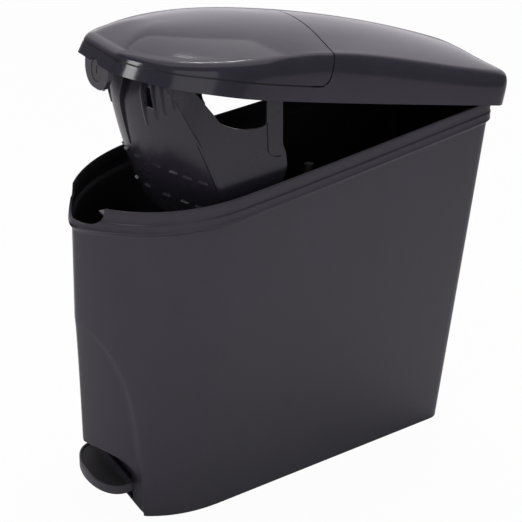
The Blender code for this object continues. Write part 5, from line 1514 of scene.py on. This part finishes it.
class Finish(Nodes):
    """One surface finish, built round a Principled shader."""

    def __init__(self, name, **flat):
        self.material = bpy.data.materials.new(name)
        self.material.use_nodes = True
        super().__init__(self.material.node_tree)
        self.shader = self.tree.nodes["Principled BSDF"]
        self.place = self.node("ShaderNodeTexCoord").outputs["Object"]
        for key, value in flat.items():
            self.shader.inputs[key].default_value = value

    def noise(self, size, detail, roughness, stretch=(1, 1, 1)):
        """Even noise whose blotches are about one size across."""
        scale = tuple(share / size for share in stretch)
        spread = self.node("ShaderNodeMapping", {}, {"Vector": self.place, "Scale": scale})
        feeds = {"Vector": spread.outputs[0], "Scale": 1.0, "Detail": detail, "Roughness": roughness}
        return Number(self, self.node("ShaderNodeTexNoise", {}, feeds).outputs[0])

    def ramp(self, value, low, high):
        """Nothing below low, one above high, straight between them."""
        feeds = {"Value": value, "From Min": low, "From Max": high}
        return Number(self, self.node("ShaderNodeMapRange", {"clamp": True}, feeds).outputs[0])

    def blend(self, share, first, second):
        """From the first colour to the second by a share."""
        first, second = ((*colour, 1) if isinstance(colour, tuple) else colour for colour in (first, second))
        feeds = {MIX_SHARE: share, MIX_FIRST: first, MIX_SECOND: second}
        return self.node("ShaderNodeMix", {"data_type": "RGBA"}, feeds).outputs[MIX_COLOUR]

    def bump(self, height, depth, strength, over=None):
        """Relief from a height, laid over other relief."""
        feeds = {"Height": height, "Distance": depth, "Strength": strength}
        if over is not None:
            feeds["Normal"] = over
        return self.node("ShaderNodeBump", {}, feeds).outputs[0]

    def inside(self):
        """One on faces that look toward the middle of the body: the mask for the shade painted inside the
        bin.
        """
        facing = self.node("ShaderNodeNewGeometry").outputs["Normal"]
        level = self.node("ShaderNodeVectorMath", {"operation": "MULTIPLY"}, {0: self.place, 1: (1, 1, 0)})
        feeds = {0: facing, 1: level.outputs[0]}
        out = self.node("ShaderNodeVectorMath", {"operation": "DOT_PRODUCT"}, feeds)
        return 1 - self.ramp(Number(self, out.outputs["Value"]), -PAINTED_SHADE_EDGE, PAINTED_SHADE_EDGE)

    def show(self, colour, roughness, normal):
        """Feed what changes over the surface to the shader."""
        self.feed(self.shader.inputs["Base Color"], colour)
        self.feed(self.shader.inputs["Roughness"], roughness)
        self.feed(self.shader.inputs["Normal"], normal)
        return self.material


def shaded(colour, share):
    """A lighter or darker shade of a colour."""
    return tuple(part * share for part in colour)


def moulded_plastic(name, colour, roughness, grain, ripple, painted_inside_shade=False):
    """Charcoal polypropylene: faint flow marks, fine grain, a few dull rubs; on request, painted shade that
    darkens the faces inside the bin.
    """
    finish = Finish(name, IOR=PLASTIC_IOR)
    flow = finish.noise(FLOW_SIZE, detail=4.0, roughness=0.5, stretch=(1, 1, FLOW_STRETCH))
    rub = finish.ramp(finish.noise(RUB_SIZE, detail=6.0, roughness=0.62), RUB_LOW, RUB_HIGH)
    lighter = tuple(min(part * FLOW_LIGHTER + FLOW_LIFT, 1) for part in colour)
    tint = finish.blend(flow, shaded(colour, FLOW_DARKER), lighter)
    tint = finish.blend(rub * RUB_SHARE, tint, shaded(colour, RUB_LIGHTER))
    fine = finish.noise(GRAIN_SIZE, detail=2.0, roughness=0.6)
    slow = finish.noise(RIPPLE_SIZE, detail=2.0, roughness=0.4)
    normal = finish.bump(slow, RIPPLE_DEPTH, ripple)
    normal = finish.bump(fine, GRAIN_DEPTH, grain, normal)
    rough = roughness + (flow - 0.5) * FLOW_ROUGHNESS + rub * RUB_ROUGHNESS
    # Painted shade: faces looking into the bin are darkened to stand in for the shade inside it, and made
    # rougher
    if painted_inside_shade:
        inside = finish.inside()
        tint = finish.blend(inside, tint, shaded(colour, PAINTED_INSIDE_SHADE))
        rough = rough + inside * INSIDE_ROUGHNESS
    return finish.show(tint, rough, normal)


def zinc_steel(name):
    """Bright plated steel with faint drawing marks."""
    finish = Finish(name, Metallic=1.0)
    drawn = finish.noise(DRAWN_SIZE, detail=3.0, roughness=0.6, stretch=(1, DRAWN_STRETCH, 1))
    tint = finish.blend(drawn, STEEL_DARK, STEEL_LIGHT)
    return finish.show(tint, 0.28 + drawn * 0.18, finish.bump(drawn, GRAIN_DEPTH, 0.4))


def soft_rubber(name):
    """Matt black rubber with a fine grain."""
    finish = Finish(name, IOR=RUBBER_IOR)
    grain = finish.noise(GRAIN_SIZE * 2, detail=3.0, roughness=0.6)
    tint = finish.blend(grain, RUBBER_DARK, RUBBER_LIGHT)
    return finish.show(tint, 0.62 + grain * 0.18, finish.bump(grain, GRAIN_DEPTH, 0.8))


FINISHES = {
    # The body's finish carries painted shade on the faces inside the bin
    "body_plastic": moulded_plastic(
        "satin_charcoal", BODY_COLOUR, roughness=0.36, grain=0.55, ripple=0.25, painted_inside_shade=True,
    ),
    "lid_plastic": moulded_plastic(
        "semi_gloss_charcoal", LID_COLOUR, roughness=0.10, grain=0.15, ripple=0.30,
    ),
    # The tray's finish is darkened as painted shade for its place under the lid
    "tray_plastic": moulded_plastic(
        "tray_charcoal_painted_shade", TRAY_COLOUR_WITH_PAINTED_SHADE, roughness=0.24, grain=0.25, ripple=0.30,
    ),
    "dark_plastic": moulded_plastic(
        "black_moulding", DARK_COLOUR, roughness=0.42, grain=0.50, ripple=0.20,
    ),
    "lock_plastic": moulded_plastic(
        "lock_face", LOCK_COLOUR, roughness=0.30, grain=0.35, ripple=0.20,
    ),
    "steel": zinc_steel("zinc_plated_steel"),
    "rubber": soft_rubber("black_rubber"),
}


def dress(piece, slot_name):
    """Give a piece the finish of its slot."""
    piece.data.materials.clear()
    piece.data.materials.append(FINISHES[slot_name])


def place_piece(piece, body, slot_name, *nodes):
    """Dress a finished piece, hang it on its body and hide the imported solids it stands in for."""
    dress(piece, slot_name)
    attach(piece, body)
    if nodes:
        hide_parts(*nodes)


NODE_SLOTS = {row["node"]: row["material_slot"] for row in frame["record"]["subparts"]}
for node_name, node in frame["nodes"].items():
    dress(node, NODE_SLOTS[node_name])
    node.data.shade_smooth()
    node.data.set_sharp_from_angle(angle=math.radians(SHARP_DEGREES))

place_piece(tub_skin(), "base", "body_plastic", "tub_shell")
place_piece(tub_floor(), "base", "body_plastic")
place_piece(tub_lugs(), "base", "body_plastic")
place_piece(keeper_bar(), "base", "body_plastic")
place_piece(lid_skin(), "lid", "lid_plastic", "lid_frame")
place_piece(seam_lip(), "lid", "dark_plastic")
place_piece(flap_skin(), "flap", "lid_plastic", "flap")
place_piece(tray_skin(), "flap", "tray_plastic", "tray")
place_piece(pedal_skin(), "pedal", "body_plastic", "pedal")


def white_floor():
    """A pale floor that shows white to the camera and keeps a soft shadow."""
    material = bpy.data.materials.new("studio_floor")
    material.use_nodes = True
    material.node_tree.nodes.clear()
    nodes = Nodes(material.node_tree)
    matt = nodes.node("ShaderNodeBsdfDiffuse", {}, {"Color": FLOOR_COLOUR}).outputs[0]
    glow = nodes.node("ShaderNodeEmission", {}, {"Color": WHITE}).outputs[0]
    share = nodes.seen_by_camera() * FLOOR_GLOW_SHARE
    mix = nodes.node("ShaderNodeMixShader", {}, {0: share, 1: matt, 2: glow})
    nodes.node("ShaderNodeOutputMaterial", {}, {0: mix.outputs[0]})
    shape = bmesh.new()
    bmesh.ops.create_circle(shape, cap_ends=True, segments=96, radius=FLOOR_RADIUS)
    floor = from_bmesh("studio_floor", shape)
    floor.location.z = -FLOOR_DROP
    bpy.context.scene.collection.objects.link(floor)
    floor.data.materials.append(material)


def studio_world():
    """White to the camera; soft grey light on the object, brighter from the back left."""
    world = bpy.data.worlds.new("studio")
    bpy.context.scene.world = world
    world.use_nodes = True
    world.node_tree.nodes.clear()
    nodes = Nodes(world.node_tree)
    toward = nodes.node("ShaderNodeVectorMath", {"operation": "DOT_PRODUCT"}, {
        0: nodes.node("ShaderNodeTexCoord").outputs["Generated"],
        1: Vector(SKY_AIM).normalized(),
    })
    level = nodes.node("ShaderNodeMapRange", {"interpolation_type": "SMOOTHSTEP"}, {
        "Value": toward.outputs["Value"],
        "From Min": SKY_EDGE,
        "From Max": SKY_FULL,
        "To Min": WORLD_LIGHT,
        "To Max": SKY_LIGHT,
    })
    light = nodes.node("ShaderNodeBackground", {}, {"Color": SKY_COLOUR, "Strength": level.outputs[0]})
    seen = nodes.node("ShaderNodeBackground", {}, {"Color": WHITE, "Strength": 1.0})
    feeds = {0: nodes.seen_by_camera(), 1: light.outputs[0], 2: seen.outputs[0]}
    mix = nodes.node("ShaderNodeMixShader", {}, feeds)
    nodes.node("ShaderNodeOutputWorld", {}, {0: mix.outputs[0]})


def softbox(name, place, aim, width, height, power, along=(0, 0, 1)):
    """Area light at a place, facing its aim; along sets which way its height lies."""
    lamp = bpy.data.lights.new(name, "AREA")
    lamp.shape = "RECTANGLE"
    lamp.size = width
    lamp.size_y = height
    lamp.energy = power
    holder = bpy.data.objects.new(name, lamp)
    holder.location = place
    holder.rotation_mode = "QUATERNION"
    out = (Vector(place) - Vector(aim)).normalized()
    level = Vector(along).cross(out).normalized()
    holder.rotation_quaternion = Matrix((level, out.cross(level), out)).transposed().to_quaternion()
    bpy.context.scene.collection.objects.link(holder)


def studio_camera():
    """Camera at the photograph's place."""
    turn, lift, roll = (math.radians(angle) for angle in (CAMERA_TURN, CAMERA_LIFT, CAMERA_ROLL))
    back = Vector((math.sin(turn) * math.cos(lift), -math.cos(turn) * math.cos(lift), math.sin(lift)))
    level = Vector((math.cos(turn), math.sin(turn), 0))
    rise = back.cross(level)
    right = level * math.cos(roll) + rise * math.sin(roll)
    upward = rise * math.cos(roll) - level * math.sin(roll)
    target = level * CAMERA_ASIDE + Vector((0, 0, CAMERA_HEIGHT))
    camera = bpy.data.objects.new("camera", bpy.data.cameras.new("camera"))
    camera.data.lens = CAMERA_LENS
    camera.data.clip_end = FLOOR_RADIUS * 3
    turned = Matrix((right, upward, back)).transposed().to_4x4()
    camera.matrix_world = Matrix.Translation(target + back * CAMERA_DISTANCE) @ turned
    bpy.context.scene.collection.objects.link(camera)
    bpy.context.scene.camera = camera


white_floor()
studio_world()
softbox(
    "top_softbox", place=(0.0, 0.15, 2.40), aim=(0, 0, 0.4), width=2.6, height=2.6, power=17,
)
softbox(
    "window", place=(0.640, -1.56, 1.42), aim=(0.05, -0.20, 0.53), width=0.28, height=0.62, power=4.2,
)
softbox(
    "strip", place=(-0.30, 0.545, 2.36), aim=(0.08, -0.13, 0.535), width=0.018, height=0.75, power=3.4,
    along=(0.218, 0.64, -0.184),
)
softbox(
    "side_fill", place=(2.0, -0.7, 1.0), aim=(0, 0, 0.25), width=1.2, height=1.2, power=3.4,
)
studio_camera()
bpy.context.scene.view_settings.view_transform = "Standard"
